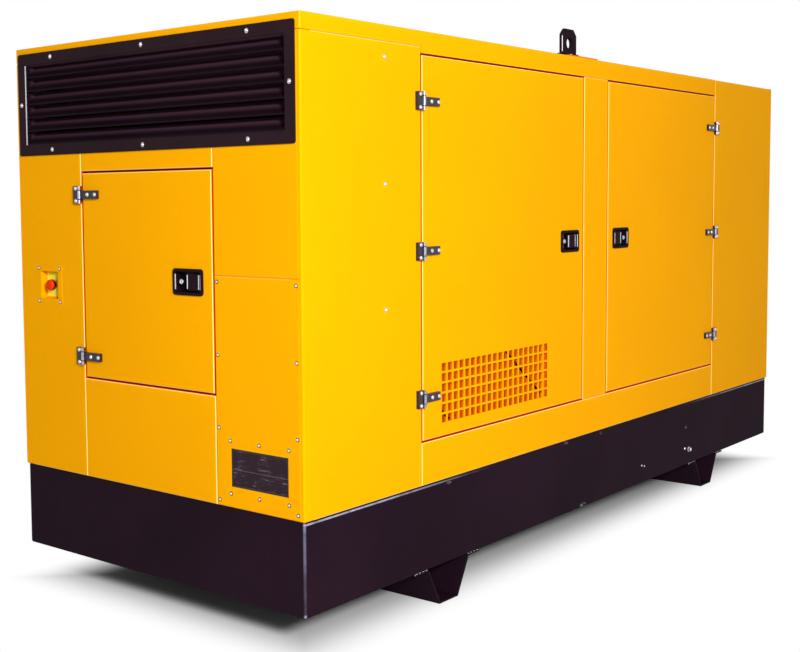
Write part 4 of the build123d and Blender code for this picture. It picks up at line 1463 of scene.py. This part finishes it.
class GENERATOR_OT_seals(bpy.types.Operator):
    """Run a rubber seal round every door opening, on the stops"""

    bl_idname = "generator.seals"
    bl_label = "Seal the Doors"

    def execute(self, context):
        sizes = settings("lining")
        shape = bmesh.new()
        depth = wall_depth()
        for name in ("side_door_a", "side_door_b"):
            low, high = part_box(name)
            for side in (1.0, -1.0):
                seat = (low.y + depth) * side
                corners = Vector((low.x, seat, low.z)), Vector((high.x, seat, high.z))
                self.ring(shape, *corners, TO_FRONT * side, sizes)
        low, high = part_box("end_door")
        seat = low.x + depth
        self.ring(shape, Vector((seat, low.y, low.z)), Vector((seat, high.y, high.z)), TO_CONTROL, sizes)
        bmesh.ops.recalc_face_normals(shape, faces=shape.faces[:])
        piece("door_seals", shape, "seal_rubber", HOUSING)
        return {"FINISHED"}

    def ring(self, shape, low, high, outward, sizes):
        """A rounded strip round the edge of a door, standing out from its stop."""
        right = UP.cross(outward)
        size = high - low
        trim = 2 * sizes.seal_setback - sizes.seal_width
        width, height = abs(size.dot(right)) - trim, abs(size.z) - trim
        matrix = Matrix((right * width, UP * height, outward)).transposed().to_4x4()
        matrix.translation = (low + high) / 2
        made = bmesh.ops.create_grid(shape, x_segments=1, y_segments=1, size=0.5, matrix=matrix)
        face = made["verts"][0].link_faces[0]
        rim = bmesh.ops.inset_region(
            shape, faces=[face], thickness=sizes.seal_width, use_boundary=True, use_even_offset=True
        )["faces"]
        bmesh.ops.delete(shape, geom=[face], context="FACES_ONLY")
        front = bmesh.ops.extrude_face_region(shape, geom=rim)["geom"]
        moved = [item for item in front if isinstance(item, bmesh.types.BMVert)]
        bmesh.ops.translate(shape, vec=outward * sizes.seal_height, verts=moved)
        top = {item for item in front if isinstance(item, bmesh.types.BMFace)}
        rims = [edge for edge in shape.edges if sum(item in top for item in edge.link_faces) == 1]
        soft = 0.32 * sizes.seal_width
        bmesh.ops.bevel(shape, geom=rims, offset=soft, affect="EDGES", segments=3, profile=0.5, material=-1)


class GENERATOR_OT_stage(bpy.types.Operator):
    """Set up the floor, the lamp, the sky and the camera"""

    bl_idname = "generator.stage"
    bl_label = "Set the Stage"

    camera_place = (-4.77201, -3.20814, 1.47286)
    camera_heading = 49.78114
    camera_pitch = 4.19740
    camera_roll = -0.51275
    camera_shift = (0.0907, -0.0482)
    key_place = (-5.2, -5.8, 3.2)
    key_aim = (-1.5, -0.72, 1.2)
    key_size = 1.0
    floor_drop = 0.0005

    def execute(self, context):
        context.scene.view_settings.view_transform = "Standard"
        stage = settings("stage")
        self.floor(stage)
        self.sky(context, stage)
        self.lamp(context, stage)
        self.camera(context, stage)
        return {"FINISHED"}

    def seen(self, tree):
        """One where a ray comes straight from the camera, a mirror or a glass."""
        path = node(tree, "ShaderNodeLightPath").outputs
        kinds = ("Is Camera Ray", "Is Glossy Ray", "Is Transmission Ray")
        return fold(tree, "MAXIMUM", [path[kind] for kind in kinds])

    def floor(self, stage):
        shape = bmesh.new()
        bmesh.ops.create_grid(shape, x_segments=1, y_segments=1, size=stage.floor_size / 2)
        mesh = bpy.data.meshes.new("floor")
        shape.to_mesh(mesh)
        shape.free()
        mesh.materials.append(self.floor_material(stage))
        floor = bpy.data.objects.new("floor", mesh)
        floor.location.z = cad_low.z - self.floor_drop
        bpy.context.scene.collection.objects.link(floor)

    def floor_material(self, stage):
        """Pale floor that keeps the shadow near the set and is plain white to the camera further off."""
        material = bpy.data.materials.new("floor")
        material.use_nodes = True
        tree = material.node_tree
        tree.nodes.clear()
        output = tree.nodes.new("ShaderNodeOutputMaterial")
        tone = opaque([stage.floor_albedo] * 3)
        matt = node(tree, "ShaderNodeBsdfDiffuse", {"Color": tone}).outputs["BSDF"]
        white = node(tree, "ShaderNodeEmission", {"Color": WHITE, "Strength": 1.0}).outputs["Emission"]
        reach = (cad_high - cad_low) / 2
        split = axes(tree, vector_sum(tree, "ABSOLUTE", object_point(tree)))
        beside = arithmetic(tree, "SUBTRACT", split["X"], reach.x)
        distance = arithmetic(tree, "MAXIMUM", beside, arithmetic(tree, "SUBTRACT", split["Y"], reach.y))
        away = ramp(tree, distance, -stage.floor_shade, stage.floor_clear)
        share = arithmetic(tree, "MULTIPLY", away, self.seen(tree))
        mixed = node(tree, "ShaderNodeMixShader", {0: share, 1: matt, 2: white})
        tree.links.new(mixed.outputs["Shader"], output.inputs["Surface"])
        return material

    def sky(self, context, stage):
        world = bpy.data.worlds.new("sky")
        world.use_nodes = True
        tree = world.node_tree
        tree.nodes.clear()
        output = tree.nodes.new("ShaderNodeOutputWorld")
        soft, white = (
            node(tree, "ShaderNodeBackground", {"Color": WHITE, "Strength": strength}).outputs[0]
            for strength in (stage.sky, 1.0)
        )
        mixed = node(tree, "ShaderNodeMixShader", {0: self.seen(tree), 1: soft, 2: white})
        tree.links.new(mixed.outputs["Shader"], output.inputs["Surface"])
        context.scene.world = world

    def lamp(self, context, stage):
        light = bpy.data.lights.new("key_lamp", "AREA")
        light.shape = "DISK"
        light.size = self.key_size
        light.energy = stage.key_power
        made = bpy.data.objects.new("key_lamp", light)
        made.location = self.key_place
        ahead = Vector(self.key_aim) - Vector(self.key_place)
        made.rotation_euler = ahead.to_track_quat("-Z", "Y").to_euler()
        made.visible_camera = False
        context.scene.collection.objects.link(made)

    def camera(self, context, stage):
        data = bpy.data.cameras.new("camera")
        data.lens = stage.lens
        data.shift_x, data.shift_y = self.camera_shift
        made = bpy.data.objects.new("camera", data)
        heading, pitch = math.radians(self.camera_heading), math.radians(self.camera_pitch)
        ahead = Vector(
            (math.sin(heading) * math.cos(pitch), math.cos(heading) * math.cos(pitch), -math.sin(pitch))
        )
        right = Vector((math.cos(heading), -math.sin(heading), 0.0))
        level = Matrix((right, right.cross(ahead), -ahead)).transposed()
        roll = Matrix.Rotation(math.radians(self.camera_roll), 3, "Z")
        made.matrix_world = Matrix.Translation(self.camera_place) @ (level @ roll).to_4x4()
        context.scene.collection.objects.link(made)
        context.scene.camera = made


class GENERATOR_PT_panel(bpy.types.Panel):
    """The steps and settings of the set, in the sidebar"""

    bl_idname = "GENERATOR_PT_panel"
    bl_label = "Generator"
    bl_space_type = "VIEW_3D"
    bl_region_type = "UI"
    bl_category = "Generator"

    def draw(self, context):
        for operator in OPERATORS:
            self.layout.operator(operator.bl_idname)
        for name, group in GROUPS.items():
            box = self.layout.box()
            box.label(text=name.title())
            for prop in group.__annotations__:
                box.prop(settings(name), prop)


GROUPS = {
    "finish": FinishSettings,
    "fasteners": FastenerSettings,
    "lining": LiningSettings,
    "stage": StageSettings,
}

OPERATORS = (
    GENERATOR_OT_paint,
    GENERATOR_OT_louvre_fittings,
    GENERATOR_OT_panel_bolts,
    GENERATOR_OT_hinge_bolts,
    GENERATOR_OT_latches,
    GENERATOR_OT_stop_plate,
    GENERATOR_OT_cable_flaps,
    GENERATOR_OT_base_fittings,
    GENERATOR_OT_lining,
    GENERATOR_OT_seals,
    GENERATOR_OT_stage,
)


def register():
    for group in GROUPS.values():
        bpy.utils.register_class(group)
    for name, group in GROUPS.items():
        setattr(bpy.types.Scene, "generator_" + name, PointerProperty(type=group))
    for operator in OPERATORS:
        bpy.utils.register_class(operator)
    bpy.utils.register_class(GENERATOR_PT_panel)


def unregister():
    bpy.utils.unregister_class(GENERATOR_PT_panel)
    for operator in reversed(OPERATORS):
        bpy.utils.unregister_class(operator)
    for name in GROUPS:
        delattr(bpy.types.Scene, "generator_" + name)
    for group in reversed(GROUPS.values()):
        bpy.utils.unregister_class(group)


def main():
    """Dresses the set."""
    register()
    bpy.ops.generator.paint()
    bpy.ops.generator.louvre_fittings()
    bpy.ops.generator.panel_bolts()
    bpy.ops.generator.hinge_bolts()
    bpy.ops.generator.latches()
    bpy.ops.generator.stop_plate()
    bpy.ops.generator.cable_flaps()
    bpy.ops.generator.base_fittings()
    bpy.ops.generator.lining()
    bpy.ops.generator.seals()
    bpy.ops.generator.stage()


if __name__ == "__main__":
    main()
